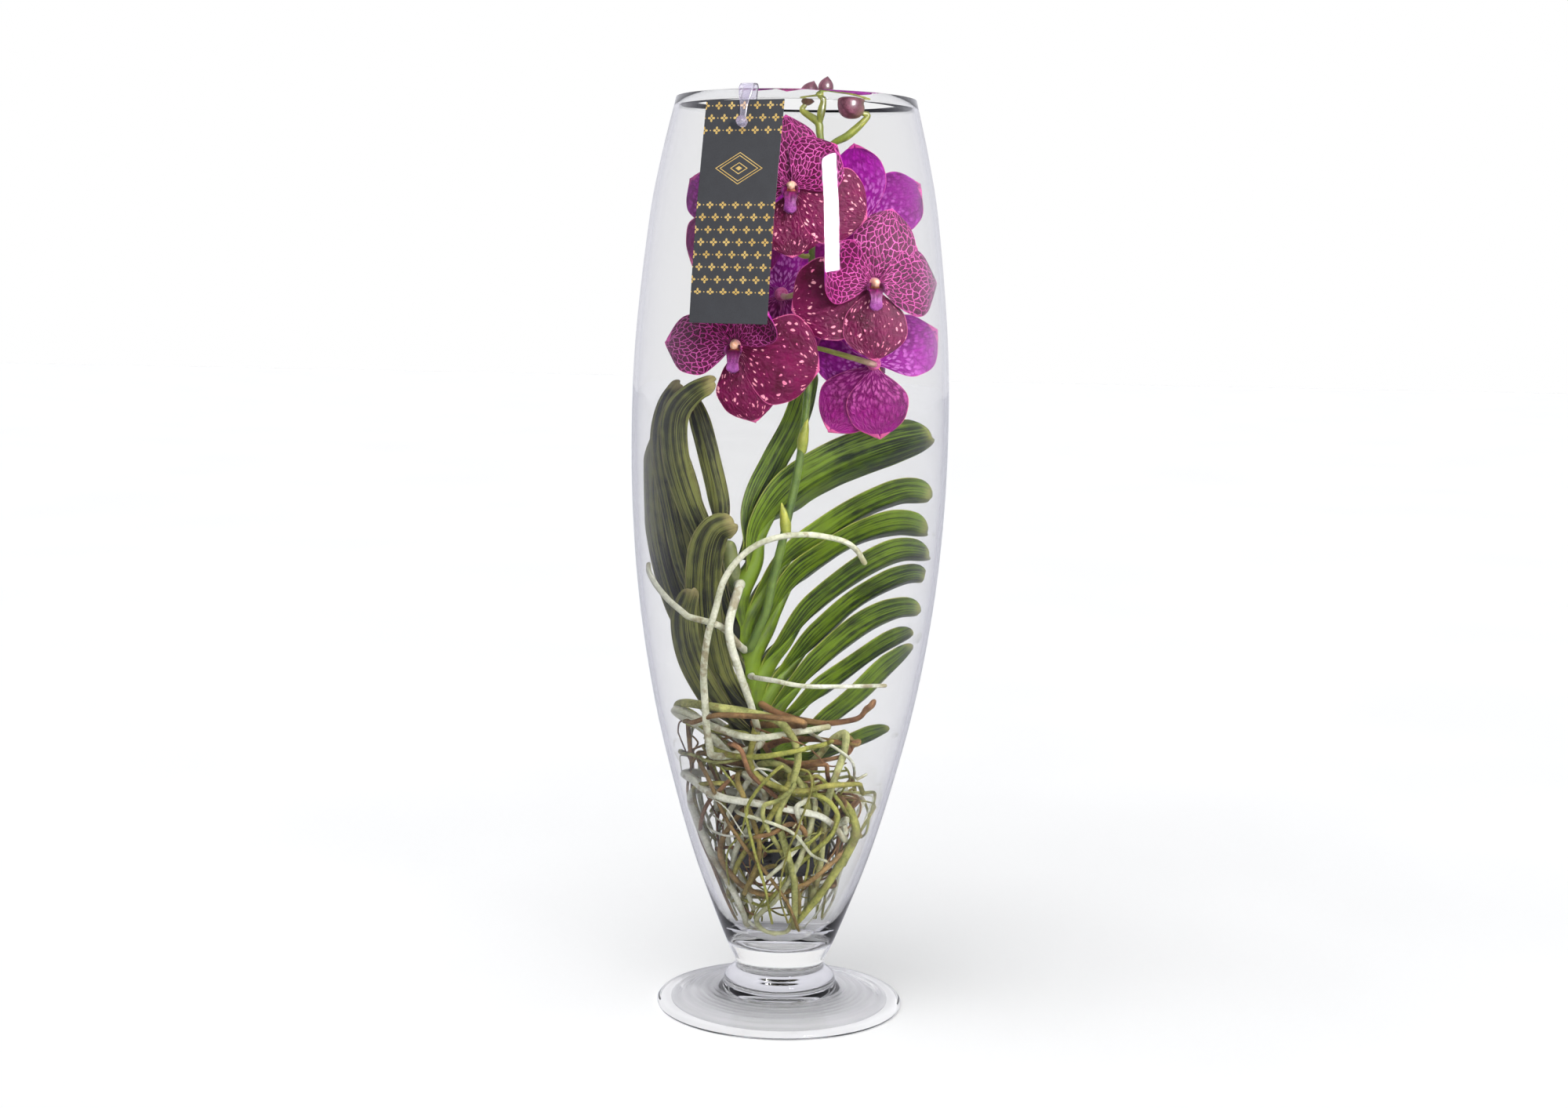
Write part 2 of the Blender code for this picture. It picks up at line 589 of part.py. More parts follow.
# the tepals that grew another way
BENT_TEPALS = {
    "bloom_1": {"dorsal_sepal": (13, 47, 19, 0), "left_petal": (-72, 40, 20, 22),
                "right_petal": (84, 46, 21, -20), "left_sepal": (-107, 52, 26, -6),
                "right_sepal": (178, 45, 20, -2)},
    "bloom_2": {"dorsal_sepal": (-6, 44, 18, 0), "left_petal": (-80, 40, 19, -4),
                "right_petal": (46, 37, 19, 4), "left_sepal": (178, 40, 21, 0),
                "right_sepal": (110, 48, 24, -3)},
    "bloom_4": {"dorsal_sepal": (-24, 44, 19, -2), "left_petal": (-88, 43, 19, -2),
                "right_petal": (42, 38, 17, 24), "left_sepal": (164, 46, 19, 0),
                "right_sepal": (104, 52, 28, -2)},
    "bloom_5": {"dorsal_sepal": (14, 44, 19, 0), "left_petal": (-59, 44, 20, 2),
                "right_petal": (76, 40, 19, 0), "left_sepal": (-172, 46, 20, -2),
                "right_sepal": (148, 50, 20, -2)},
    "bloom_6": {"dorsal_sepal": (7, 50, 19, 0), "left_petal": (-56, 44, 20, 0)},
}
# lift off the middle, arch along the tepal, curl of its edges
PETAL_FORM = (1.5, 1.8, 0.5)
DORSAL_FORM = (-1.2, 1.4, -1.4)
LEFT_SEPAL_FORM = (-2.6, 1.6, -1.2)
RIGHT_SEPAL_FORM = (-0.6, 1.6, -1.2)
TEPAL_FORMS = {"dorsal_sepal": DORSAL_FORM, "left_petal": PETAL_FORM, "right_petal": PETAL_FORM,
               "left_sepal": LEFT_SEPAL_FORM, "right_sepal": RIGHT_SEPAL_FORM}
TEPAL_OUTLINE = [(0.0, 0.10), (0.22, 0.62), (0.50, 1.0), (0.78, 0.90), (1.0, 0.36)]
TEPAL_ACROSS = (-1.0, -0.4, 0.4, 1.0)
# the hub behind a bloom and its column in front: distance to the front, radius, in metres
COLUMN = [(-0.0060, 0.0024), (-0.0030, 0.0046), (0.0030, 0.0042), (0.0070, 0.0035),
          (0.0095, 0.0024)]
STALK_RADIUS = (1.5, 1.9)


def bloom_axes(facing, turn):
    """The way the bloom faces, its top and its right-hand side, turned clockwise."""
    front = Vector(facing).normalized()
    right = Vector((0, 0, 1)).cross(front).normalized()
    top = front.cross(right)
    turned_by = math.radians(turn)
    new_top = top * math.cos(turned_by) + right * math.sin(turned_by)
    return front, new_top, new_top.cross(front)


def tepal_rows(middle, axes, size, angle, length, half, bend, lift, arch, curl):
    """Rows of points across a tepal, from the hub to its tip."""
    front, top, right = axes
    turn = math.radians(angle)
    out = top * math.cos(turn) + right * math.sin(turn)
    side = right * math.cos(turn) - top * math.sin(turn)
    rows = []
    for share, width in TEPAL_OUTLINE:
        row = []
        for across in TEPAL_ACROSS:
            reach = 2.0 + length * share - 3.0 * share * across * across
            depth = lift + arch * 4 * share * (1 - share) + curl * across * across * width
            lean = bend * share * share
            reach -= 0.3 * abs(lean) * share
            place = out * reach + side * half * width * across + front * (depth + lean)
            row.append(kept_inside(middle + place * 0.001 * size, PETAL_THICKNESS / 2))
        rows.append(row)
    return rows


def make_bloom(name, middle, facing, turn, size, look):
    middle = mm(*middle)
    axes = bloom_axes(facing, turn)
    front, top, right = axes
    column = [middle + front * reach for reach, _ in COLUMN]
    members = [tube("column", column, [radius for _, radius in COLUMN], look)]
    for tepal, usual in TEPALS.items():
        shape = BENT_TEPALS.get(name, {}).get(tepal, usual)
        rows = tepal_rows(middle, axes, size, *shape, *TEPAL_FORMS[tepal])
        members.append(sheet(tepal, rows, PETAL_THICKNESS, look))
    lip = [middle + front * 0.001 - top * 0.001, middle + front * 0.0075 - top * 0.0050,
           middle + front * 0.0095 - top * 0.0110, middle + front * 0.0080 - top * 0.0165]
    rows = [[place - right * wide * 0.001, place, place + right * wide * 0.001]
            for place, wide in zip(lip, (2.2, 4.6, 3.4, 4.2))]
    members.append(sheet("lip", rows, 0.0018, look))
    return fused(name, members, look)


def make_bloom_stalk(name, middle, facing, height, look):
    """The stalk from the spike to the hub behind a bloom, clear of both by a touch gap."""
    middle, front = mm(*middle), Vector(facing).normalized()
    thick, thin = 0.001 * STALK_RADIUS[1], 0.001 * STALK_RADIUS[0]
    seat = middle + front * (COLUMN[0][0] - TOUCH_GAP * 1.5)
    foot = spike_at(height)
    way = seat - front * 0.010 - foot
    way.z = way.z * 0.4
    way.normalize()
    spike_radius = 0.001 * along([(243, SPIKE_RADIUS[0]), (571, SPIKE_RADIUS[1])], height)
    start = foot + way * (spike_radius + TOUCH_GAP + 0.0004)
    line = smooth_route([start, start + way * 0.008, seat - front * 0.009, seat], 9)
    radii = [between(thin, thick, index / 8) for index in range(9)]
    return tube(name, line, radii, look)


def make_blooms():
    petal_magenta = material("petal_magenta", (0.30, 0.01, 0.19), 0.45)
    stalk_pink = material("stalk_pink", (0.42, 0.24, 0.26), 0.5)
    for name, (middle, facing, turn, size, height) in BLOOMS.items():
        make_bloom(name, middle, facing, turn, size, petal_magenta)
        make_bloom_stalk(name.replace("bloom", "bloom_stalk"), middle, facing, height, stalk_pink)


# The hang tag: a black card that leans on the bowl, on a clear hook over the rim

TAG_TURN = math.radians(-112.5)   # the way round the vase, from +X
TAG_WIDTH = 0.052
TAG_ROWS = [(456, 102.7), (485, 99.7), (520, 95.2), (556, 88.7), (592.5, 81.9)]
TAG_HOLE_Z = 579.0
TAG_HOLE_RADIUS = 0.0031
# radius and height of the strap's middle, and its width
HOOK_ROUTE = [(77.4, 583, 10), (73.7, 597, 10), (73.5, 600.4, 10), (74.6, 602.3, 10),
              (77.2, 602.6, 10), (79.6, 601.2, 10), (81.8, 597.4, 8), (83.4, 592.0, 5),
              (84.5, 586, 4), (85.8, 579, 4)]
HOOK_THICKNESS = 0.0010


def on_tag_line(radius, height, aside=0.0):
    """A point at this radius and height on the tag's line, moved sideways by metres."""
    out = Vector((math.cos(TAG_TURN), math.sin(TAG_TURN), 0))
    side = Vector((-out.y, out.x, 0))
    return out * radius * 0.001 + side * aside + Vector((0, 0, height * 0.001))


def rod(name, start, end, radius, look):
    return tube(name, [start, end], [radius, radius], look, sides=12)


def make_tag():
    black_card = material("black_card", (0.02, 0.02, 0.025), 0.6)
    rows = [[on_tag_line(radius, height, TAG_WIDTH * (step - 0.5)) for step in (0, 0.5, 1)]
            for height, radius in TAG_ROWS]
    tag = sheet("hang_tag", rows, CARD_THICKNESS, black_card)
    hole = rod("tag_hole", on_tag_line(78, TAG_HOLE_Z - 1.8), on_tag_line(92, TAG_HOLE_Z + 0.8),
               TAG_HOLE_RADIUS, black_card)
    hole.hide_render = True
    hole.display_type = "WIRE"
    cut = tag.modifiers.new("hole", "BOOLEAN")
    cut.operation = "DIFFERENCE"
    cut.object = hole


def make_tag_hook():
    clear_plastic = material("clear_plastic", (0.9, 0.9, 0.93), 0.1)
    rows = [[on_tag_line(radius, height, width * step * 0.001) for step in (-0.5, 0.5)]
            for radius, height, width in HOOK_ROUTE]
    strap = sheet("strap", rows, HOOK_THICKNESS, clear_plastic)
    pin_z = TAG_HOLE_Z - 0.1
    pin = rod("pin", on_tag_line(83.6, pin_z - 0.2), on_tag_line(86.4, pin_z + 0.3), 0.0022,
              clear_plastic)
    button = rod("button", on_tag_line(85.9, pin_z + 0.2), on_tag_line(87.8, pin_z + 0.6), 0.0033,
                 clear_plastic)
    return fused("tag_hook", [strap, pin, button], clear_plastic)


make_vase()
make_net_pot()
make_stem()
make_leaves()
make_aerial_roots()
make_roots()
make_spike()
make_buds()
make_blooms()
make_tag()
make_tag_hook()
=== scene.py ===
"""The looks of a vanda orchid that stands in a tall footed glass vase.

Every piece is built in metres in the frame's own place: +Z up, -Y the front of the plant.
Routes are written in millimetres and turned into metres by route_of().
"""
import math
import random

import bpy
import numpy as np
from mathutils import Matrix, Vector


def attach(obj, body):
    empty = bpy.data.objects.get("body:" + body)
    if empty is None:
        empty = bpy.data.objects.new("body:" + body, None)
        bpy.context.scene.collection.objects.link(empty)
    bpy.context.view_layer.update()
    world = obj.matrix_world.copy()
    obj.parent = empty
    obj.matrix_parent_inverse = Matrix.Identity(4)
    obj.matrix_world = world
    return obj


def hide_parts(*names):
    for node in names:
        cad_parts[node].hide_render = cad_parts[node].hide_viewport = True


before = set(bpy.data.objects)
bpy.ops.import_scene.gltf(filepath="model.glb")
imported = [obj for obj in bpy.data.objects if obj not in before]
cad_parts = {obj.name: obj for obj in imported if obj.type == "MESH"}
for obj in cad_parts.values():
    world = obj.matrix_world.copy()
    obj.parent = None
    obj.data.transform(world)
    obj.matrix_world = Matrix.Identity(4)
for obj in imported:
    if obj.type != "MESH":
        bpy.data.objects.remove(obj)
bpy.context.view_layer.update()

# The studio: a white sweep with soft light from all round, and one upright softbox in front.
# The softbox is what the glass mirrors as a bright strip beside the tag.

PHOTO_WIDTH = 2000
FOCAL_PIXELS = 2885.5
SENSOR_MM = 36.0
CAMERA_PLACE = (0.0, -1.485, 0.472)
CAMERA_DOWN = math.radians(6.447)
CAMERA_LEFT = math.radians(0.091)
CAMERA_ROLL = math.radians(1.119)
KEY_WAY = Vector((-0.35, -0.62, 0.70)).normalized()
KEY_GLOW = 2.0
KEY_FOCUS = 3.0
FILL_LIGHT = 0.31
SOFTBOX_SIZE = (0.24, 0.36)
SOFTBOX_WATTS = 90.0
SOFTBOX_PLACE = Vector((0.57, -1.05, 0.92))
SOFTBOX_AIM = Vector((0.03, -0.09, 0.5))
FLOOR_REACH = 12.0
FLOOR_GLOW = 0.07


def tone(red, green, blue):
    """A colour given as 0 to 255 screen values, as linear values with alpha."""
    linear = [value / 255 / 12.92 if value <= 10 else ((value / 255 + 0.055) / 1.055) ** 2.4
              for value in (red, green, blue)]
    return (*linear, 1.0)


def grey(value):
    return (value, value, value, 1.0)


BLACK, WHITE = grey(0.0), grey(1.0)


def node(tree, kind, sockets=(), **settings):
    """A shader node with its settings, and its sockets as values or links, by name or number."""
    made = tree.nodes.new(kind)
    for name, value in settings.items():
        setattr(made, name, value)
    for name, value in dict(sockets).items():
        if isinstance(value, bpy.types.NodeSocket):
            tree.links.new(value, made.inputs[name])
        else:
            made.inputs[name].default_value = value
    return made


def ramp(tree, factor, stops, smooth=True):
    """A colour ramp of (position, colour) stops, read at factor."""
    made = node(tree, "ShaderNodeValToRGB", {"Fac": factor})
    band = made.color_ramp
    band.interpolation = "EASE" if smooth else "LINEAR"
    while len(band.elements) < len(stops):
        band.elements.new(0.5)
    for element, (position, colour) in zip(band.elements, stops):
        element.position = position
        element.color = colour
    return made.outputs["Color"]


def rise(tree, factor, low, high):
    """0 up to the low value of the factor and 1 past the high one."""
    return ramp(tree, factor, [(low, BLACK), (high, WHITE)])


def fall(tree, factor, low, high):
    """1 up to the low value of the factor and 0 past the high one."""
    return ramp(tree, factor, [(low, WHITE), (high, BLACK)])


def sums(tree, operation, first, second=0.5, third=0.0):
    return node(tree, "ShaderNodeMath", {0: first, 1: second, 2: third},
                operation=operation).outputs[0]


def times(tree, first, second):
    return sums(tree, "MULTIPLY", first, second)


def dot(tree, place, way):
    return node(tree, "ShaderNodeVectorMath", {0: place, 1: way},
                operation="DOT_PRODUCT").outputs["Value"]


def mixed(tree, factor, first, second, blend="MIX"):
    made = node(tree, "ShaderNodeMix", {"Factor": factor}, data_type="RGBA", blend_type=blend)
    for socket, value in ((made.inputs[6], first), (made.inputs[7], second)):
        if isinstance(value, bpy.types.NodeSocket):
            tree.links.new(value, socket)
        else:
            socket.default_value = value
    return made.outputs[2]


def finish_of(name):
    """A new material with its tree and its surface shader."""
    made = bpy.data.materials.new(name)
    made.use_nodes = True
    return made, made.node_tree, made.node_tree.nodes["Principled BSDF"]


def set_surface(tree, surface, **sockets):
    """Sets the surface shader's sockets, with underscores for the spaces in their names."""
    for name, value in sockets.items():
        socket = surface.inputs[name.replace("_", " ")]
        if isinstance(value, bpy.types.NodeSocket):
            tree.links.new(value, socket)
        else:
            socket.default_value = value


def bump(tree, height, strength, distance):
    return node(tree, "ShaderNodeBump", {"Height": height, "Strength": strength,
                                         "Distance": distance}).outputs["Normal"]


def noise(tree, place, scale, detail):
    return node(tree, "ShaderNodeTexNoise", {"Vector": place, "Scale": scale,
                                             "Detail": detail}).outputs["Fac"]


def object_place(tree):
    return node(tree, "ShaderNodeTexCoord").outputs["Object"]


def make_world():
    """White where it is seen, soft light for what scatters, and panels for what mirrors."""
    world = bpy.data.worlds.new("studio")
    world.use_nodes = True
    bpy.context.scene.world = world
    tree = world.node_tree
    tree.nodes.clear()
    way = node(tree, "ShaderNodeTexCoord").outputs["Generated"]
    parts = node(tree, "ShaderNodeSeparateXYZ", {0: way})
    side = sums(tree, "ABSOLUTE", parts.outputs["X"])
    height = sums(tree, "MULTIPLY_ADD", parts.outputs["Z"], 0.5, 0.5)
    sides = ramp(tree, side, [(0.0, WHITE), (0.72, (0.92, 0.93, 0.95, 1)),
                              (1.0, (0.62, 0.64, 0.70, 1))])
    overhead = ramp(tree, height, [(0.35, (0.80, 0.80, 0.81, 1)), (0.75, grey(1.2))])
    glow = sums(tree, "POWER", sums(tree, "MAXIMUM", dot(tree, way, KEY_WAY), 0.0), KEY_FOCUS)
    soft = node(tree, "ShaderNodeBackground", {
        "Color": mixed(tree, 1.0, sides, overhead, "MULTIPLY"),
        "Strength": sums(tree, "MULTIPLY_ADD", glow, KEY_GLOW, FILL_LIGHT)})
    behind = sums(tree, "MULTIPLY_ADD", parts.outputs["Y"], 0.5, 0.5)
    panels = ramp(tree, behind, [(0.0, (0.06, 0.06, 0.07, 1)), (0.22, (0.12, 0.12, 0.14, 1)),
                                 (0.44, (0.84, 0.84, 0.94, 1)), (1.0, (0.80, 0.80, 0.86, 1))])
    ceiling = ramp(tree, height, [(0.66, BLACK), (0.95, grey(0.55))])
    mirror = node(tree, "ShaderNodeBackground",
                  {"Color": mixed(tree, 1.0, panels, ceiling, "LIGHTEN"), "Strength": 1.0})
    plain = node(tree, "ShaderNodeBackground", {"Color": WHITE, "Strength": 1.0})
    path = node(tree, "ShaderNodeLightPath").outputs
    scattered = sums(tree, "GREATER_THAN", path["Diffuse Depth"], 0.5)
    lit = node(tree, "ShaderNodeMixShader", {0: scattered, 1: mirror.outputs[0],
                                             2: soft.outputs[0]})
    bounces = sums(tree, "ADD", path["Diffuse Depth"], path["Glossy Depth"])
    seen = sums(tree, "LESS_THAN", bounces, 0.5)
    both = node(tree, "ShaderNodeMixShader", {0: seen, 1: lit.outputs[0], 2: plain.outputs[0]})
    node(tree, "ShaderNodeOutputWorld", {"Surface": both.outputs[0]})


def make_softbox():
    strip = bpy.data.lights.new("softbox", "AREA")
    strip.shape = "RECTANGLE"
    strip.size, strip.size_y = SOFTBOX_SIZE
    strip.energy = SOFTBOX_WATTS
    lamp = bpy.data.objects.new("softbox", strip)
    lamp.visible_diffuse = False
    lamp.location = SOFTBOX_PLACE
    lamp.rotation_euler = (SOFTBOX_AIM - SOFTBOX_PLACE).to_track_quat("-Z", "Y").to_euler()
    bpy.context.scene.collection.objects.link(lamp)


def make_floor():
    """A white floor, with a painted dimmer reflection where it is mirrored and a painted shade where
    it shows through the glass foot.
    """
    mesh = bpy.data.meshes.new("floor")
    corners = [(-1, -1), (1, -1), (1, 1), (-1, 1)]
    mesh.from_pydata([(x * FLOOR_REACH, y * FLOOR_REACH, 0) for x, y in corners], [],
                     [(0, 1, 2, 3)])
    floor = bpy.data.objects.new("floor", mesh)
    bpy.context.scene.collection.objects.link(floor)
    pale, tree, surface = finish_of("pale_floor")
    place = object_place(tree)
    colour = ramp(tree, noise(tree, place, 3.0, 2.0), [(0.3, grey(0.93)), (0.7, grey(0.96))])
    path = node(tree, "ShaderNodeLightPath").outputs
    # Painted reflection: where the floor is seen mirrored, its colour is a duller grey.
    mirrored = sums(tree, "GREATER_THAN", path["Glossy Depth"], 0.5)
    colour = mixed(tree, mirrored, colour, (0.62, 0.62, 0.68, 1))
    # Painted shade: a grey disc round the axis, seen only through the glass foot.
    through = sums(tree, "GREATER_THAN", path["Transmission Depth"], 0.5)
    from_axis = node(tree, "ShaderNodeVectorMath", {0: place}, operation="LENGTH").outputs["Value"]
    under = times(tree, through, fall(tree, from_axis, 0.10, 0.15))
    colour = mixed(tree, under, colour, (0.70, 0.70, 0.705, 1))
    set_surface(tree, surface, Base_Color=colour, Roughness=0.9, Specular_IOR_Level=0.1,
                Emission_Color=WHITE, Emission_Strength=FLOOR_GLOW)
    mesh.materials.append(pale)


def make_camera():
    lens = bpy.data.cameras.new("camera")
    lens.sensor_width = SENSOR_MM
    lens.lens = FOCAL_PIXELS / PHOTO_WIDTH * SENSOR_MM
    camera = bpy.data.objects.new("camera", lens)
    look = Matrix.Rotation(CAMERA_LEFT, 4, "Z") @ Matrix.Rotation(math.pi / 2 - CAMERA_DOWN, 4, "X")
    camera.matrix_world = Matrix.Translation(CAMERA_PLACE) @ look @ Matrix.Rotation(
        CAMERA_ROLL, 4, "Z")
    bpy.context.scene.collection.objects.link(camera)
    bpy.context.scene.camera = camera


bpy.context.scene.view_settings.view_transform = "Standard"
make_world()
make_softbox()
make_floor()
make_camera()

# The vase: clear glass blown in a mould, with a thick base, a collar and a pressed round foot.
# Its rim is fire-polished, and the foot keeps faint rings from the turning.

VASE_TURNS = 144
FOOT_UNDERSIDE = [(0, 8.0), (34, 7.0), (60, 3.0), (71, 0.05), (80, 0.05)]
FOOT_TOP = [(81.4, 0.4), (82.0, 1.5), (82.0, 2.7), (80.8, 3.8), (79, 4.4), (60, 8.4), (42, 12.6),
            (37.2, 14.9)]
COLLAR = [(36.9, 15.6), (37.3, 17.6), (36.4, 20.6), (33.0, 23.6), (29.8, 25.8), (29.0, 28.6)]
BOWL_OUTSIDE = [(31.4, 34.5), (35.2, 42), (38.6, 50), (46.5, 70), (57.6, 100), (70.0, 140),
                (84.7, 200), (96.0, 262), (101.7, 320), (103.5, 380), (102.0, 445), (94.2, 520),
                (87.0, 560), (78.0, 598.4)]
RIM = [(77.6, 599.5), (76.6, 600), (75.5, 599.6)]
BOWL_INSIDE = [(0, 43.0), (22, 44.6), (33.4, 54), (42.0, 70), (53.8, 100), (66.6, 140),
               (81.5, 200), (93.0, 262), (98.7, 320), (100.5, 380), (99.0, 445), (91.3, 520),
               (84.3, 560), (75.0, 598.4)]
VASE_HEIGHT = 0.600
GLASS_MARGIN = 0.0010
WALL_DEGREE = 6
EVEN_FROM = 4
RING_DEPTH = 0.00006
RING_RATE = 1900
RINGED_RADII = (0.042, 0.078)
RINGED_HEIGHTS = (0.004, 0.013)


def route_of(points):
    """A route given in millimetres, in metres."""
    return np.array(points, float) * 0.001


def between(low, high, share):
    return low + (high - low) * share


def ease(share):
    """0 to 1 with a soft start and a soft end."""
    share = min(1.0, max(0.0, share))
    return share * share * (3 - 2 * share)


def smooth_route(points, count):
    """count points at even steps along a smooth curve through the given points."""
    given = np.array([tuple(point) for point in points], float)
    ends = np.vstack([2 * given[0] - given[1], given, 2 * given[-1] - given[-2]])
    t = np.linspace(0, 1, 16, endpoint=False)[:, None]
    fine = [0.5 * (2 * b + (c - a) * t + (2 * a - 5 * b + 4 * c - d) * t * t
                   + (3 * b - a - 3 * c + d) * t ** 3)
            for a, b, c, d in zip(ends, ends[1:], ends[2:], ends[3:])]
    fine = np.vstack([*fine, given[-1:]])
    reach = np.concatenate([[0], np.cumsum(np.linalg.norm(np.diff(fine, axis=0), axis=1))])
    wanted = np.linspace(0, reach[-1], count)
    return np.stack([np.interp(wanted, reach, column) for column in fine.T], axis=1)


def spread(values, count):
    """The values, read at count even steps along them."""
    return np.interp(np.linspace(0, 1, count), np.linspace(0, 1, len(values)), values)


def glass_inside(height):
    """The bowl's inner radius at a height, both in metres."""
    radii, heights = zip(*BOWL_INSIDE)
    return np.interp(height * 1000, heights, radii) * 0.001


def kept_inside(points, clearance):
    """The points, drawn towards the vase's axis where they would touch the glass."""
    kept = np.array(points, float)
    reach = glass_inside(kept[..., 2]) - GLASS_MARGIN - clearance
    wide = np.hypot(kept[..., 0], kept[..., 1])
    squeeze = np.where((wide > reach) & (kept[..., 2] < VASE_HEIGHT),
                       reach / np.maximum(wide, 1e-9), 1.0)
    kept[..., 0] *= squeeze
    kept[..., 1] *= squeeze
    return kept


NOTES = "place"


def noted(tree):
    """The notes on a shape's points: as one vector, then as its three parts."""
    notes = node(tree, "ShaderNodeAttribute", attribute_name=NOTES).outputs["Vector"]
    parts = node(tree, "ShaderNodeSeparateXYZ", {0: notes}).outputs
    return notes, parts["X"], parts["Y"], parts["Z"]


class Shape:
    """The points, faces and point notes of a piece while it is put together."""

    def __init__(self):
        self.points, self.faces, self.notes = [], [], []

    def add(self, points, faces, notes):
        first = len(self.points)
        self.points.extend(map(tuple, points))
        self.notes.extend(map(tuple, notes))
        self.faces.extend(tuple(first + corner for corner in face) for face in faces)


def grid_faces(rows, columns, wrap=False, flip=False, first=0):
    """Quads over a grid of points, joined round in its columns if wrap is set."""
    faces = []
    for row in range(rows - 1):
        for column in range(columns if wrap else columns - 1):
            across = (column + 1) % columns
            face = (first + row * columns + column, first + row * columns + across,
                    first + (row + 1) * columns + across, first + (row + 1) * columns + column)
            faces.append(face[::-1] if flip else face)
    return faces


def new_piece(name, shape, finish, slot, *cad_nodes):
    """A smooth mesh object that rides on the part and stands for CAD nodes."""
    mesh = bpy.data.meshes.new(name)
    mesh.from_pydata(shape.points, [], shape.faces)
    mesh.attributes.new(NOTES, "FLOAT_VECTOR", "POINT").data.foreach_set(
        "vector", np.array(shape.notes, np.float32).ravel())
    mesh.materials.append(finish)
    mesh.shade_smooth()
    piece = bpy.data.objects.new(name, mesh)
    bpy.context.scene.collection.objects.link(piece)
    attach(piece, "root")
    if cad_nodes:
        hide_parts(*cad_nodes)
    return piece


def lathe(shape, profile, turns):
    """A closed turned solid whose profile starts and ends on the axis."""
    inner = [(radius, height) for radius, height in profile if radius > 0]
    points, notes = [], []
    for radius, height in inner:
        for turn in range(turns):
            angle = math.tau * turn / turns
            points.append((radius * math.cos(angle), radius * math.sin(angle), height))
            notes.append((angle / math.tau, height, radius))
    faces = grid_faces(len(inner), turns, wrap=True)
    points += [(0, 0, profile[0][1]), (0, 0, profile[-1][1])]
    notes += [(0, profile[0][1], 0), (0, profile[-1][1], 0)]
    low, high = len(points) - 2, len(points) - 1
    last = (len(inner) - 1) * turns
    for turn in range(turns):
        after = (turn + 1) % turns
        faces.append((low, after, turn))
        faces.append((high, last + turn, last + after))
    shape.add(points, faces, notes)


def make_glass():
    glass, tree, surface = finish_of("clear_glass")
    edge = node(tree, "ShaderNodeLayerWeight", {"Blend": 0.5}).outputs["Facing"]
    tint = ramp(tree, edge, [(0.0, (0.90, 0.90, 0.902, 1)), (0.80, (0.90, 0.90, 0.908, 1)),
                             (0.96, (0.88, 0.88, 0.94, 1)), (1.0, (0.80, 0.80, 0.92, 1))])
    place = object_place(tree)
    height = node(tree, "ShaderNodeSeparateXYZ", {0: place}).outputs["Z"]
    turned = node(tree, "ShaderNodeTexWave",
                  {"Vector": place, "Scale": 46.0, "Distortion": 1.6, "Detail": 1.0},
                  wave_type="RINGS", rings_direction="Z").outputs["Fac"]
    pressed = ramp(tree, turned, [(0.0, (0.74, 0.74, 0.745, 1)), (1.0, (0.83, 0.83, 0.835, 1))])
    foot = mixed(tree, fall(tree, height, 0.018, 0.024), WHITE, pressed)
    tint = mixed(tree, 1.0, tint, foot, "MULTIPLY")
    set_surface(tree, surface, Base_Color=tint, Roughness=0.0, Transmission_Weight=1.0, IOR=1.48,
                Specular_Tint=(0.17, 0.17, 0.19, 1),
                Normal=bump(tree, noise(tree, place, 9.0, 1.0), 0.02, 0.002))
    return glass


def even_curve(points):
    """The points past the first few, moved onto one smooth curve so that glints run straight."""
    radii, heights = np.array(points[EVEN_FROM:], float).T
    curve = np.polynomial.Polynomial.fit(heights, radii, WALL_DEGREE)
    return points[:EVEN_FROM] + list(zip(curve(heights), heights))


def ring_lift(radius, height):
    """The faint rings that the turning left on top of the foot."""
    (near, far), (low, high) = RINGED_RADII, RINGED_HEIGHTS
    ringed = near < radius < far and low < height < high
    return RING_DEPTH * math.sin(radius * RING_RATE) if ringed else 0.0


def make_vase():
    profile = [(0.0, FOOT_UNDERSIDE[0][1] * 0.001)]
    for points, count in ((FOOT_UNDERSIDE[1:], 14), (FOOT_TOP, 44), (COLLAR, 18),
                          (even_curve(BOWL_OUTSIDE) + RIM, 92),
                          (even_curve(BOWL_INSIDE)[::-1], 88)):
        profile += [tuple(point) for point in smooth_route(route_of(points), count)]
    shape = Shape()
    lathe(shape, [(radius, height + ring_lift(radius, height)) for radius, height in profile],
          VASE_TURNS)
    new_piece("glass_vase", shape, make_glass(), "clear_glass", "vase")


make_vase()

# The net pot: the small basket of black plastic that the young plant was grown in. Moulded in one
# piece with eight slots in its wall, it now sits low in the vase among the roots.

POT_TOP_RADIUS = 37.0
POT_FLOOR_RADIUS = 29.0
POT_HOLE_RADIUS = 9.0
POT_FLOOR_Z = 94.0
POT_TOP_Z = 137.0
POT_WALL = 0.0016
POT_TURNS = 120
POT_SLOTS = 8
SLOT_TURNS = (4, 11)
SLOT_HEIGHTS = (102.0, 124.0)
POT_BEADS = [(98.5, 1.4), (127.5, 1.4), (135.5, 1.8)]


def effect_group(name, inputs, outputs):
    """An empty node group with its sockets, each input as (name, kind, usual value)."""
    group = bpy.data.node_groups.new(name, "ShaderNodeTree")
    for label, kind, usual in inputs:
        socket = group.interface.new_socket(name=label, in_out="INPUT", socket_type=kind)
        if usual is not None:
            socket.default_value = usual
    for label, kind in outputs:
        group.interface.new_socket(name=label, in_out="OUTPUT", socket_type=kind)
    given, out = group.nodes.new("NodeGroupInput"), group.nodes.new("NodeGroupOutput")
    return group, given.outputs, out.inputs


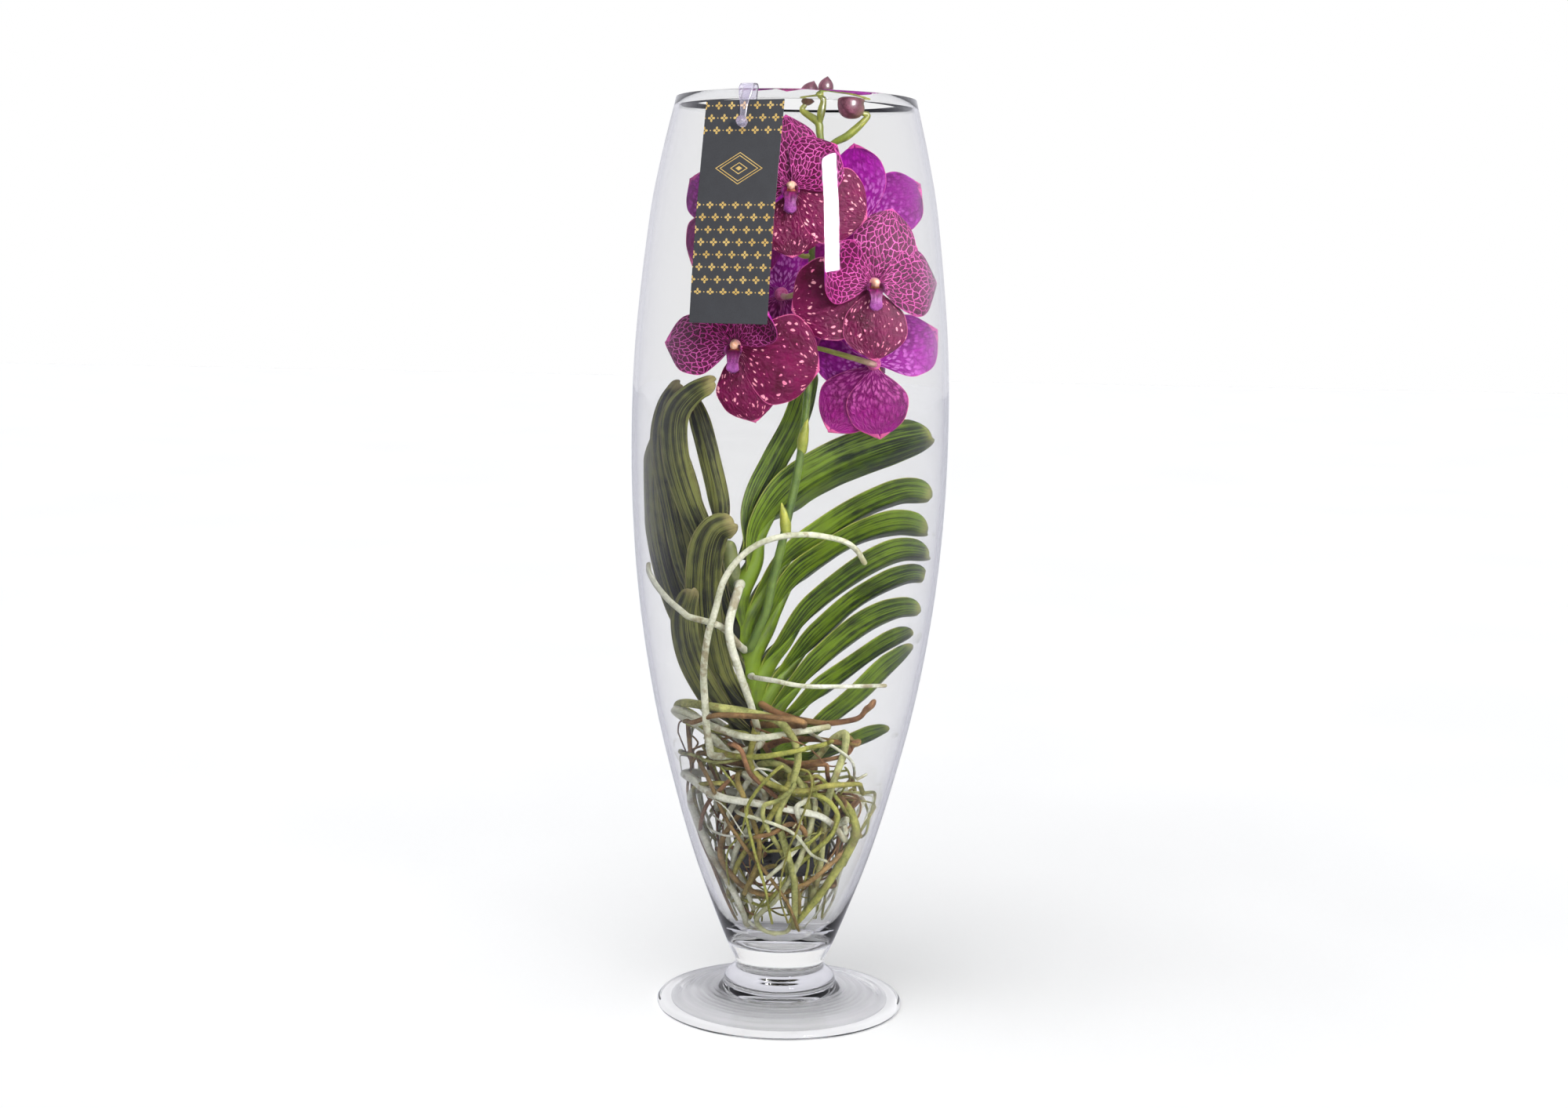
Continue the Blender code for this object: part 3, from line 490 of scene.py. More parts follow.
def make_patches_group():
    """Broad and fine mottling in one value, and the same as a height for a bump."""
    group, given, out = effect_group(
        "patches", [("Place", "NodeSocketVector", None), ("Broad", "NodeSocketFloat", 20.0),
                    ("Fine", "NodeSocketFloat", 200.0), ("Fine Share", "NodeSocketFloat", 0.35)],
        [("Value", "NodeSocketFloat"), ("Height", "NodeSocketFloat")])
    broad = noise(group, given["Place"], given["Broad"], 4.0)
    fine = noise(group, given["Place"], given["Fine"], 3.0)
    both = node(group, "ShaderNodeMix", {0: given["Fine Share"], 2: broad, 3: fine}).outputs[0]
    clear = node(group, "ShaderNodeMapRange", {"Value": both, 1: 0.34, 2: 0.66}).outputs[0]
    group.links.new(clear, out["Value"])
    group.links.new(fine, out["Height"])
    return group


patches_group = make_patches_group()


def patches(tree, place, broad, fine, fine_share=0.35):
    return node(tree, "ShaderNodeGroup",
                {"Place": place, "Broad": broad, "Fine": fine, "Fine Share": fine_share},
                node_tree=patches_group).outputs


def make_net_pot():
    plastic, tree, surface = finish_of("pot_plastic")
    dust = patches(tree, object_place(tree), 45.0, 420.0)
    colour = mixed(tree, dust["Value"], tone(26, 26, 30), tone(58, 56, 58))
    set_surface(tree, surface, Base_Color=colour,
                Roughness=sums(tree, "MULTIPLY_ADD", dust["Value"], 0.25, 0.38),
                Normal=bump(tree, dust["Height"], 0.25, 0.0004))
    rows = [(radius, POT_FLOOR_Z) for radius in np.linspace(POT_HOLE_RADIUS, POT_FLOOR_RADIUS, 7)]
    rows += [(between(POT_FLOOR_RADIUS, POT_TOP_RADIUS, share),
              between(POT_FLOOR_Z, POT_TOP_Z, share)) for share in np.linspace(0, 1, 44)[1:]]
    points, notes = [], []
    for radius, height in rows:
        bead = sum(0.55 * ease(1.5 - abs(height - middle) / wide) for middle, wide in POT_BEADS)
        for turn in range(POT_TURNS):
            angle = math.tau * turn / POT_TURNS
            wide = (radius + bead) * 0.001
            points.append((wide * math.cos(angle), wide * math.sin(angle), height * 0.001))
            notes.append((angle, height, radius))
    in_turn, (first, last) = POT_TURNS // POT_SLOTS, SLOT_TURNS
    low, high = SLOT_HEIGHTS
    faces = [face for face in grid_faces(len(rows), POT_TURNS, wrap=True)
             if not (low < rows[face[0] // POT_TURNS][1] < high
                     and first <= face[0] % POT_TURNS % in_turn < last)]
    shape = Shape()
    shape.add(points, faces, notes)
    pot = new_piece("net_pot_fine", shape, plastic, "black_plastic", "net_pot")
    wall = pot.modifiers.new("wall", "SOLIDIFY")
    wall.thickness = POT_WALL
    wall.offset = -1.0


make_net_pot()

# The stem: a woody green cane that leans to the left as it climbs, ringed where leaves have grown.
# It is hidden by the bases of the leaves for most of its height.

STEM_ROUTE = [(1, 2, 96.2), (0, 2, 110), (-8, 2, 140), (-18, 0, 200), (-29, -2, 255),
              (-37, -3, 298), (-39, -3, 308)]
STEM_RADIUS = 0.0055
STEM_RING_STEP = 0.0125
STEM_STEPS = 90
DOME = [(0.97, 0.24), (0.84, 0.54), (0.5, 0.87)]


def on_route(route, height):
    """The point of a rising route at a height in millimetres, in metres."""
    x, y, z = np.array(route, float).T
    return np.array((np.interp(height, z, x), np.interp(height, z, y), height)) * 0.001


def stem_at(height):
    return on_route(STEM_ROUTE, height)


def carried_frames(line):
    """The heading, side and lift at each point of a line, carried along it without twist."""
    headings = np.gradient(line, axis=0)
    headings /= np.linalg.norm(headings, axis=1)[:, None]
    side = np.cross(headings[0], (0.3, 0.1, 0.9))
    sides = []
    for heading in headings:
        side = side - heading * (side @ heading)
        side = side / np.linalg.norm(side)
        sides.append(side)
    return headings, np.array(sides), np.cross(headings, sides)


def limb(shape, line, radii, around, mark=0.0, uneven=None):
    """A round limb with domed ends. Its notes are its mark, the metres to its tip and the turn."""
    line, radii = np.array(line, float), np.array(radii, float)
    headings, sides, lifts = carried_frames(line)
    reach = np.concatenate([[0], np.cumsum(np.linalg.norm(np.diff(line, axis=0), axis=1))])
    start = [line[0] - headings[0] * radii[0] * far for far, _ in DOME]
    finish = [line[-1] + headings[-1] * radii[-1] * far for far, _ in reversed(DOME)]
    shares = np.array([wide for _, wide in DOME])
    line = np.vstack([start, line, finish])
    radii = np.concatenate([radii[0] * shares, radii, radii[-1] * shares[::-1]])
    padded = [np.vstack([way[:1]] * 3 + [way] + [way[-1:]] * 3) for way in (sides, lifts)]
    reach = np.concatenate([[0] * 3, reach, [reach[-1]] * 3])
    turns = np.arange(around) * math.tau / around
    ring = padded[0][:, None] * np.cos(turns)[:, None] + padded[1][:, None] * np.sin(turns)[:, None]
    grow = 1.0 + (uneven(reach[:, None], turns[None]) if uneven else 0.0)
    points = line[:, None] + ring * (radii[:, None] * grow)[..., None]
    to_tip = (reach[-1] - reach)[:, None]
    notes = np.stack(np.broadcast_arrays(mark, to_tip, turns[None] / math.tau), axis=2)
    rows = len(line)
    faces = grid_faces(rows, around, wrap=True)
    faces.append(tuple(range(around))[::-1])
    faces.append(tuple(range((rows - 1) * around, rows * around)))
    shape.add(points.reshape(-1, 3), faces, notes.reshape(-1, 3))


def stem_rings(reach, turn):
    """The stem's uneven girth: a ring for each leaf it has borne, on a slightly ribbed cane."""
    ring = np.abs(np.sin(reach * math.pi / STEM_RING_STEP)) ** 6
    return 0.045 * ring + 0.02 * np.sin(turn * 3 + reach * 40)


def make_stem():
    bark, tree, surface = finish_of("stem_skin")
    mottle = patches(tree, object_place(tree), 60.0, 500.0)
    colour = mixed(tree, mottle["Value"], tone(58, 66, 30), tone(112, 118, 62))
    set_surface(tree, surface, Base_Color=colour, Roughness=0.5,
                Normal=bump(tree, mottle["Height"], 0.4, 0.0006))
    line = smooth_route(route_of(STEM_ROUTE), STEM_STEPS)
    radii = STEM_RADIUS * np.linspace(1.12, 0.95, STEM_STEPS)
    shape = Shape()
    limb(shape, line, radii, 24, uneven=stem_rings)
    new_piece("stem_cane", shape, bark, "green_stem", "stem")


make_stem()

# The leaves: folded straps of tough waxy green, grown in two ranks that clasp the stem. Each ends
# in two unequal round lobes, and the left-hand rank is older, greyer and dry at its edges.

LEAF_ROWS = 64
LEAF_ACROSS = np.sin(np.linspace(-math.pi / 2, math.pi / 2, 17))
LEAF_THICKNESS = 0.0013
LEAF_CREASE = 0.16
LEAF_SEAT = 0.0092
LEAF_BASE_WIDTH = 14.5
LEAF_BASE_SHARE = 0.58
LEAF_TIP_SHARE = 0.72
LEAF_FOLDS = (45.0, 22.0)
LEAF_STEPS = 97
LEAF_LOBES = 0.42
LEAF_NOTCH = (0.14, 0.0022)
LEAF_UNEVEN_TIP = 0.0016
LEAF_WAVE = 0.0005
SHEATHED_UNDER = 295
SHEATH_DROP = 26
SHEATH_SHARES = (0.10, 0.20, 0.30)
SHEATH_GIRTH = (0.0064, 0.0072, 0.0070, 0.0052, 0.0034, 0.0006)
SHEATH_STEPS = 24
RIGHT_SIDE = np.array((0.97, 0.22, 0)) / math.hypot(0.97, 0.22)
LEFT_SIDE = np.array((-0.90, -0.44, 0)) / math.hypot(0.90, 0.44)

# name: height on the stem, width, turn of the blade to the front in degrees, route of the midrib
RIGHT_LEAVES = {
    "leaf_right_01": (300, 20, 80, [(-24, 4, 333), (-9, 8, 364), (5, 12, 392), (15, 16, 427)]),
    "leaf_right_02": (283, 40, 62, [(-16, 2, 320), (6, 6, 344), (28, 8, 358), (48, 10, 367),
                                    (73, 12, 376), (97, 12, 383)]),
    "leaf_right_03": (262, 32, 46, [(-2, 3, 296), (21, 6, 312), (48, 10, 330), (70, 13, 340),
                                    (83, 14, 343), (97, 16, 341)]),
    "leaf_right_04": (240, 31, 44, [(3, 5, 281), (29, 9, 302), (52, 12, 315), (76, 15, 321),
                                    (96, 18, 318)]),
    "leaf_right_05": (221, 30, 46, [(-1, -1, 243), (18, -2, 266), (39, -2, 284), (60, -1, 298),
                                    (78, 0, 305), (96, 0, 304)]),
    "leaf_right_06": (205, 28, 46, [(4, 6, 228), (25, 8, 249), (45, 10, 268), (66, 12, 281),
                                    (84, 14, 288), (94, 16, 286)]),
    "leaf_right_07": (190, 31, 46, [(15, 2, 221), (35, 4, 240), (56, 6, 256), (77, 8, 265),
                                    (91, 10, 265)]),
    "leaf_right_08": (177, 28, 44, [(20, 8, 206), (41, 12, 221), (62, 16, 236), (80, 20, 246),
                                    (89, 22, 250)]),
    "leaf_right_09": (165, 29, 46, [(16, 3, 180), (34, 5, 193), (52, 6, 208), (67, 8, 223),
                                    (80, 10, 235), (87, 12, 243)]),
    "leaf_right_10": (155, 22, 44, [(17, 6, 163), (32, 12, 168), (48, 16, 174), (62, 20, 179),
                                    (73, 22, 184)]),
}
LEFT_LEAVES = {
    "leaf_left_01": (300, 15, 70, [(-45, -12, 335), (-52, -15, 368), (-60, -14, 396),
                                   (-66, -13, 408)]),
    "leaf_left_02": (252, 18, 65, [(-45, -17, 282), (-53, -26, 312), (-64, -38, 341),
                                   (-72, -48, 371), (-72, -52, 397), (-61, -55, 412),
                                   (-46, -57, 420)]),
    "leaf_left_03": (228, 16, 60, [(-50, -10, 258), (-66, -12, 293), (-76, -18, 335),
                                   (-83, -22, 373), (-80, -25, 401), (-70, -28, 418)]),
    "leaf_left_04": (206, 20, 65, [(-54, -3, 232), (-76, 6, 277), (-87, 8, 319),
                                   (-90, 8, 355), (-86, 7, 376), (-77, 6, 388)]),
    "leaf_left_05": (188, 25, 75, [(-44, -20, 226), (-52, -34, 267), (-52, -49, 303),
                                   (-46, -57, 324), (-32, -61, 331)]),
    "leaf_left_06": (277, 14, 60, [(-55, -7, 294), (-60, -6, 310), (-64, -5, 340), (-72, -5, 366),
                                   (-79, -6, 384)]),
    "leaf_left_07": (172, 18, 70, [(-40, -22, 200), (-59, -42, 236), (-65, -47, 266),
                                   (-60, -52, 288)]),
}


def gentle(share):
    """The same soft start and end as ease(), for arrays."""
    share = np.clip(share, 0.0, 1.0)
    return share * share * (3 - 2 * share)


def thick_sheet(shape, grid, thickness, across, along):
    """A thin closed sheet about a grid of points. Its notes are across, along and side, 0 or 1."""
    rows, columns = grid.shape[:2]
    normal = np.cross(np.gradient(grid, axis=1), np.gradient(grid, axis=0))
    normal /= np.maximum(np.linalg.norm(normal, axis=2), 1e-12)[..., None]
    half = normal * (np.broadcast_to(thickness, (rows, columns)) / 2)[..., None]
    size = rows * columns
    faces = grid_faces(rows, columns) + grid_faces(rows, columns, flip=True, first=size)
    border = [*range(columns), *range(2 * columns - 1, size, columns),
              *range(size - 2, size - columns - 1, -1),
              *range(size - 2 * columns, 0, -columns)]
    for near, far in zip(border, border[1:] + border[:1]):
        faces.append((far, near, size + near, size + far))
    for side, layer in ((0.0, grid + half), (1.0, grid - half)):
        notes = np.stack(np.broadcast_arrays(across, along, side), axis=2)
        shape.points.extend(map(tuple, layer.reshape(-1, 3)))
        shape.notes.extend(map(tuple, notes.reshape(-1, 3)))
    first = len(shape.points) - 2 * size
    shape.faces.extend(tuple(first + corner for corner in face) for face in faces)


def read_at(values, share):
    """Rows of values read at shares of their length, between the rows where need be."""
    place = np.clip(share, 0, 1) * (len(values) - 1)
    low = np.minimum(place.astype(int), len(values) - 2)
    part = (place - low)[..., None]
    return values[low] * (1 - part) + values[low + 1] * part


def leaf_grid(seat, side, width, face, route, draw):
    """The middle surface of a leaf: rows of points from edge to edge, base to tip."""
    start = seat + side * LEAF_SEAT
    line = smooth_route([start, start + side * 0.003 + (0, 0, 0.011), *route_of(route)],
                        LEAF_STEPS)
    length = np.linalg.norm(np.diff(line, axis=0), axis=1).sum()
    headings = np.gradient(line, axis=0)
    headings /= np.linalg.norm(headings, axis=1)[:, None]
    share = np.linspace(0, 1, len(line))
    across_base = np.cross((0, 0, 1), side)
    across = across_base - headings * (headings @ across_base)[:, None]
    across /= np.linalg.norm(across, axis=1)[:, None]
    lift = np.cross(headings, across)
    turn = (math.radians(face) * gentle(share * 2.4))[:, None]
    blade = across * np.cos(turn) - lift * np.sin(turn) * across_base[1]
    blade /= np.linalg.norm(blade, axis=1)[:, None]
    crease = np.cross(headings, blade)
    base = min(LEAF_BASE_SHARE, LEAF_BASE_WIDTH / width)
    half = width * 0.0005 * between(base, 1.0, gentle(share * 2.4)) * between(
        1.0, LEAF_TIP_SHARE, gentle((share - 0.80) * 5.0))
    fold = np.radians(between(*LEAF_FOLDS, gentle(share * 2.5)))
    t = LEAF_ACROSS[None]
    lobes = LEAF_LOBES * width * 0.001 * (1 - np.sqrt(np.clip(1 - t * t, 0, 1)))
    notch_width, notch_depth = LEAF_NOTCH
    notch = notch_depth * np.exp(-(t / notch_width) ** 2)
    shorter = np.where(t * draw.choice((-1, 1)) > 0, LEAF_UNEVEN_TIP, 0.0)
    s = np.linspace(0, 1, LEAF_ROWS)[:, None]
    s = s - (lobes + notch + shorter) / length * gentle((s - 0.7) / 0.3)
    bend = (np.sqrt(t * t + LEAF_CREASE ** 2) - LEAF_CREASE) / (
        math.hypot(1, LEAF_CREASE) - LEAF_CREASE)
    half_here = read_at(half[:, None], s)
    fold_here = read_at(fold[:, None], s)
    wave = LEAF_WAVE * np.sin(s * draw.uniform(9, 14) + draw.uniform(0, 6)) * t * gentle(s * 3)
    out = half_here * np.cos(fold_here) * t[..., None]
    up = half_here * np.sin(fold_here) * bend[..., None] + wave[..., None]
    grid = read_at(line, s) + read_at(blade, s) * out + read_at(crease, s) * up
    return kept_inside(grid, LEAF_THICKNESS / 2), t, s


def add_sheath(shape, height, seat, grid, girth):
    """The clasping base of a leaf: it wraps the stem below and narrows into the blade."""
    middle = grid.shape[1] // 2
    rows = [int(share * LEAF_ROWS) for share in SHEATH_SHARES]
    line = smooth_route([stem_at(height - SHEATH_DROP), stem_at(height - SHEATH_DROP * 0.45),
                         seat, *(grid[row, middle] for row in rows)], SHEATH_STEPS)
    limb(shape, kept_inside(line, 0.004), spread(SHEATH_GIRTH, SHEATH_STEPS) * girth, 20, 0.4)


def make_leaf_skin(name, fibres, dark, light, edge, roughness):
    """A leaf's skin: dark and light fibres along it, painted shade in the fold along the midrib, and
    a dry rim and tip in the edge's colour.
    """
    skin, tree, surface = finish_of(name)
    place, across, along, _ = noted(tree)
    far = sums(tree, "ABSOLUTE", across)
    fibre_place = node(tree, "ShaderNodeVectorMath", {0: place, 1: fibres},
                       operation="MULTIPLY").outputs[0]
    fibre = patches(tree, fibre_place, 1.0, 3.2, 0.5)
    blotch = patches(tree, object_place(tree), 26.0, 160.0, 0.3)
    shade = sums(tree, "MULTIPLY_ADD", fibre["Value"], 0.70, times(tree, blotch["Value"], 0.30))
    colour = mixed(tree, rise(tree, shade, 0.34, 0.66), dark, light)
    # Painted shade: the middle of the blade is darkened along the midrib's fold.
    crease_shade = fall(tree, far, 0.0, 0.075)
    colour = mixed(tree, times(tree, crease_shade, 0.45), colour, dark)
    rim = rise(tree, far, 0.955, 1.0)
    colour = mixed(tree, times(tree, rim, 0.6), colour, edge)
    tip = rise(tree, sums(tree, "MULTIPLY_ADD", blotch["Value"], 0.03, along), 0.955, 1.0)
    colour = mixed(tree, times(tree, tip, 0.45), colour, edge)
    set_surface(tree, surface, Base_Color=colour,
                Roughness=sums(tree, "MULTIPLY_ADD", blotch["Value"], 0.16, roughness),
                Specular_IOR_Level=0.22, Coat_Roughness=0.3, Coat_Weight=0.04,
                Normal=bump(tree, fibre["Height"], 0.55, 0.0005))
    return skin


def make_leaves():
    young = make_leaf_skin("leaf_green", (9.0, 1.3, 3.0), tone(16, 28, 2), tone(90, 112, 18),
                           tone(158, 154, 70), 0.34)
    old = make_leaf_skin("leaf_old", (5.0, 0.9, 3.0), tone(12, 14, 6), tone(98, 100, 50),
                         tone(158, 142, 98), 0.38)
    for leaves, side, skin in ((RIGHT_LEAVES, RIGHT_SIDE, young), (LEFT_LEAVES, LEFT_SIDE, old)):
        for name, (height, width, face, route) in leaves.items():
            draw = random.Random(name)
            grid, across, along = leaf_grid(stem_at(height), side, width, face, route, draw)
            thickness = LEAF_THICKNESS * (0.35 + 0.65 * np.sqrt(1 - across ** 2 * 0.98)
                                          + 0.5 * np.exp(-(across / 0.1) ** 2))
            shape = Shape()
            thick_sheet(shape, grid, thickness, across, along)
            if height < SHEATHED_UNDER:
                add_sheath(shape, height, stem_at(height) + side * 0.005, grid,
                           min(1.0, width / 24))
            new_piece(name.replace("leaf", "strap_leaf"), shape, skin, "leaf_green", name)


make_leaves()

# The aerial roots: four that show by themselves. Each is round and silvery where its spongy skin is
# dry, with a green or brown living tip.

# name: radius in millimetres, colour from silver 0 to brown 1, route from the stem to the tip
AERIAL_ROOTS = {
    "aerial_root_arch": (2.5, 0.12, [
        (-14.5, -6.2, 184), (-18, -26, 180), (-45, -56, 180), (-56, -70, 204), (-55, -74, 240),
        (-46, -77, 270), (-39, -79, 296), (-27, -81, 313), (-10, -82, 323), (12, -82, 326),
        (32, -80, 323), (42, -76, 317), (48, -72, 308)]),
    "aerial_root_left": (2.4, 0.1, [
        (-27, -8.6, 241), (-31, -28, 248), (-42, -58, 264), (-64, -66, 272), (-79, -55, 280),
        (-87, -38, 289), (-90, -20, 298)]),
    "aerial_root_thick": (3.4, 0.05, [
        (-32, -8.5, 284), (-30, -28, 287), (-31, -46, 286), (-36, -62, 262), (-29, -58, 235),
        (-22, -52, 214), (-17, -46, 196)]),
    "aerial_root_right": (1.8, 0.0, [
        (-21.5, -7.0, 224), (-22, -36, 228), (-8, -60, 230), (14, -62, 227), (45, -52, 226),
        (64, -42, 225)]),
}
AERIAL_STEPS = 120


def make_root_skin():
    skin, tree, surface = finish_of("root_skin")
    _, kind, to_tip, turn = noted(tree)
    place = object_place(tree)
    mottle = patches(tree, place, 95.0, 650.0)
    stain = patches(tree, place, 38.0, 210.0, 0.4)
    pale = ramp(tree, kind, [(0.0, tone(226, 226, 214)), (0.5, tone(168, 168, 84)),
                             (1.0, tone(146, 106, 72))], smooth=False)
    dark = ramp(tree, kind, [(0.0, tone(158, 158, 132)), (0.5, tone(88, 90, 30)),
                             (1.0, tone(70, 44, 28))], smooth=False)
    colour = mixed(tree, mottle["Value"], dark, pale)
    soil = rise(tree, stain["Value"], 0.60, 0.86)
    colour = mixed(tree, times(tree, soil, 0.6), colour, tone(112, 92, 54))
    lines = node(tree, "ShaderNodeCombineXYZ", {0: times(tree, turn, 16.0),
                                                1: times(tree, to_tip, 130.0),
                                                2: times(tree, kind, 9.0)}).outputs[0]
    wrinkle = patches(tree, lines, 1.0, 2.6, 0.5)
    green = fall(tree, to_tip, 0.002, 0.010)
    colour = mixed(tree, times(tree, green, 0.55), colour, tone(118, 110, 54))
    height = sums(tree, "MULTIPLY_ADD", wrinkle["Value"], 0.6, mottle["Height"])
    set_surface(tree, surface, Base_Color=colour, Roughness=0.78, Specular_IOR_Level=0.2,
                Normal=bump(tree, height, 0.5, 0.0005))
    return skin


root_skin = make_root_skin()


def knotty(draw, size):
    """A root's uneven girth: slow swells along it and a slightly flattened section."""
    waves = [(draw.uniform(90, 420), draw.uniform(0, 6), draw.uniform(0.4, 1.0)) for _ in range(4)]
    flat_turn = draw.uniform(0, 6)
    return lambda reach, turn: size * (
        sum(part * np.sin(reach * rate + shift + turn) for rate, shift, part in waves) / 2
        + np.cos(2 * (turn + flat_turn)))


def make_aerial_roots():
    for name, (radius, kind, route) in AERIAL_ROOTS.items():
        line = kept_inside(smooth_route(route_of(route), AERIAL_STEPS), radius * 0.001)
        radii = radius * 0.001 * np.linspace(1.0, 0.66, AERIAL_STEPS)
        shape = Shape()
        limb(shape, line, radii, 18, kind, uneven=knotty(random.Random(name), 0.05))
        new_piece(name.replace("aerial_root", "bare_root"), shape, root_skin, "silver_root", name)


make_aerial_roots()

# The root tangle: thick roots that loop round the inside of the glass, finer ones that fall past
# the pot, and wiry ones between them, all grown from one crown on the stem.

# each root's radius in millimetres, its colour and its route from the crown to its tip
MAIN_ROOTS = [
    (2.9, 0.1, [(-12, -8, 143), (-50, -30, 190), (-74, -34, 205), (-60, -44, 204),
                (-43, -51, 197), (-20, -67, 194), (0, -63, 196), (28, -51, 199)]),
    (3.0, 0.45, [(-14, 0, 142), (-50, 0, 186), (-70, -26, 207), (-54, -52, 212), (-38, -60, 211),
                 (-8, -66, 207), (5, -65, 196), (9, -62, 183), (7, -60, 167), (1, -59, 154),
                 (-3, -57, 144), (1, -54, 125), (7, -47, 103), (9, -38, 80), (9, -22, 58)]),
    (3.0, 0.0, [(-12, 4, 141), (-50, 2, 155), (-66, -28, 161), (-58, -44, 157), (-40, -52, 152),
                (-14, -57, 149), (16, -54, 143), (29, -47, 137), (40, -37, 122)]),
    (2.6, 0.4, [(-3, -7, 143), (22, -34, 176), (38, -44, 196), (38, -50, 180), (31, -50, 160),
                (27, -43, 133), (25, -36, 105), (20, -24, 80)]),
    (3.1, 0.5, [(-2, -2, 141), (36, -24, 146), (48, -33, 124), (38, -33, 105), (25, -30, 83),
                (9, -21, 59)]),
    (2.9, 0.05, [(-10, 0, 141), (-56, -14, 148), (-60, -20, 135), (-52, -25, 118),
                 (-37, -28, 95), (-27, -22, 74), (-22, -14, 56)]),
    (1.9, 0.9, [(-8, -6, 141), (-24, -40, 142), (-40, -34, 112), (-21, -32, 86), (2, -37, 86),
                (20, -37, 95), (37, -33, 110), (51, -20, 121)]),
    (1.9, 0.8, [(-8, -8, 143), (-30, -50, 168), (-14, -52, 120), (-24, -36, 84), (-14, -38, 100),
                (0, -40, 104), (10, -38, 92), (12, -30, 70)]),
    (2.3, 0.3, [(-4, -5, 143), (20, -40, 152), (12, -48, 112), (-4, -36, 80), (-15, -24, 66),
                (-12, -20, 54), (4, -18, 52), (8, -22, 62)]),
]
CROWN_HEIGHTS = (118, 147)
CROWN_RADIUS = 0.0115
CROWN_SWELL = (0.72, 0.95, 1.0, 0.95, 0.78)
CROWN_STEPS = 30
RULE_ROOTS = 16
RULE_RADII = (0.0011, 0.0013, 0.0016, 0.0021)
RULE_KINDS = (0.1, 0.5, 0.9, 0.0, 0.6)
RULE_STEPS = 9
ROOT_SEED = 11
ROOT_SEAT = 0.142
LEAF_WAY = math.radians(15)
POT_CLEAR = 0.0378
POT_REACH = (0.0925, 0.1385)
WIRY_ROOTS = 96
WIRY_SEED = 5
WIRY_KINDS = (0.0, 0.05, 0.15, 0.45, 0.5, 0.6, 0.95, 1.0)
WIRY_RADII = (0.0007, 0.0010, 0.0014, 0.0019, 0.0025)
WIRY_JITTER = 0.0024
WINDING_HEIGHTS = (0.118, 0.208)
RESTING_HEIGHTS = (0.053, 0.092)
WINDING_START = (math.radians(150), math.radians(330))
WINDING_LIMITS = (math.radians(125), math.radians(318))
CURL_STEPS = 5


def clear_of_pot(point, radius):
    """The point, moved off the net pot's wall if it would touch it."""
    low, high = POT_REACH
    wide = math.hypot(point[0], point[1])
    reach = POT_CLEAR + radius
    if not low - radius < point[2] < high + radius or wide >= reach:
        return point
    if point[2] > high - 0.008:
        return np.array((point[0], point[1], high + radius))
    if point[2] < low + 0.004:
        return np.array((point[0], point[1], low - radius))
    return np.array((point[0] * reach / wide, point[1] * reach / wide, point[2]))


def off_stem(start_height, height, share, wide, angle):
    """A point this wide of an axis that moves from the stem to the vase's own middle."""
    middle = stem_at(start_height * 1000) * max(0.0, 1 - share * 3)
    return middle[0] + wide * math.cos(angle), middle[1] + wide * math.sin(angle), height


def rule_root(draw):
    """A finer root: out over the pot's rim, then down round the inside of the glass."""
    start, turn = draw.uniform(0, math.tau), draw.uniform(-2.2, 2.2)
    away = 0.5 - 0.5 * math.cos(start - LEAF_WAY)
    lift = 0.060 * away * draw.uniform(0.3, 1.0)
    bottom = draw.uniform(0.052, 0.115)
    inset, phase = draw.uniform(0.68, 0.95), draw.uniform(0, math.tau)
    radius = draw.choice(RULE_RADII)
    route = []
    for share in np.linspace(0, 1, RULE_STEPS):
        dropped = max(0.0, share - 0.375) / 0.625
        height = between(ROOT_SEAT, bottom, dropped ** 1.2) + lift * math.sin(
            math.pi * share ** 0.7)
        outward = inset + 0.1 * math.sin(phase + 5 * share)
        wide = between(0.006, glass_inside(height) * outward, ease(share * 3))
        angle = start + turn * share * away + 0.2 * math.sin(phase + 9 * share) * share
        route.append(off_stem(height, height, share, wide, angle))
    return radius, np.array(route)


def root_line(radius, route, count):
    """A root's smooth line through the same points as its plain solid."""
    plain = smooth_route(route, count)
    bent = [plain[0], *(clear_of_pot(point, radius) for point in plain[1:])]
    return kept_inside(smooth_route(kept_inside(bent, radius), 100), radius)


def make_roots():
    draw = random.Random(ROOT_SEED)
    roots = [(radius * 0.001, kind, route_of(route), 16) for radius, kind, route in MAIN_ROOTS]
    for index in range(RULE_ROOTS):
        radius, route = rule_root(draw)
        roots.append((radius, RULE_KINDS[index % len(RULE_KINDS)], route, 10))
    shape = Shape()
    low, high = CROWN_HEIGHTS
    crown = smooth_route([stem_at(low), stem_at((low + high) / 2), stem_at(high)], CROWN_STEPS)
    limb(shape, crown, CROWN_RADIUS * spread(CROWN_SWELL, CROWN_STEPS), 40, 0.85,
         uneven=knotty(draw, 0.08))
    for index, (radius, kind, route, count) in enumerate(roots):
        line = root_line(radius, route, count)
        radii = radius * np.linspace(1.0, 0.7, len(line))
        limb(shape, line, radii, 14, kind, uneven=knotty(random.Random(index), 0.07))
    new_piece("root_tangle", shape, root_skin, "silver_root", "roots")


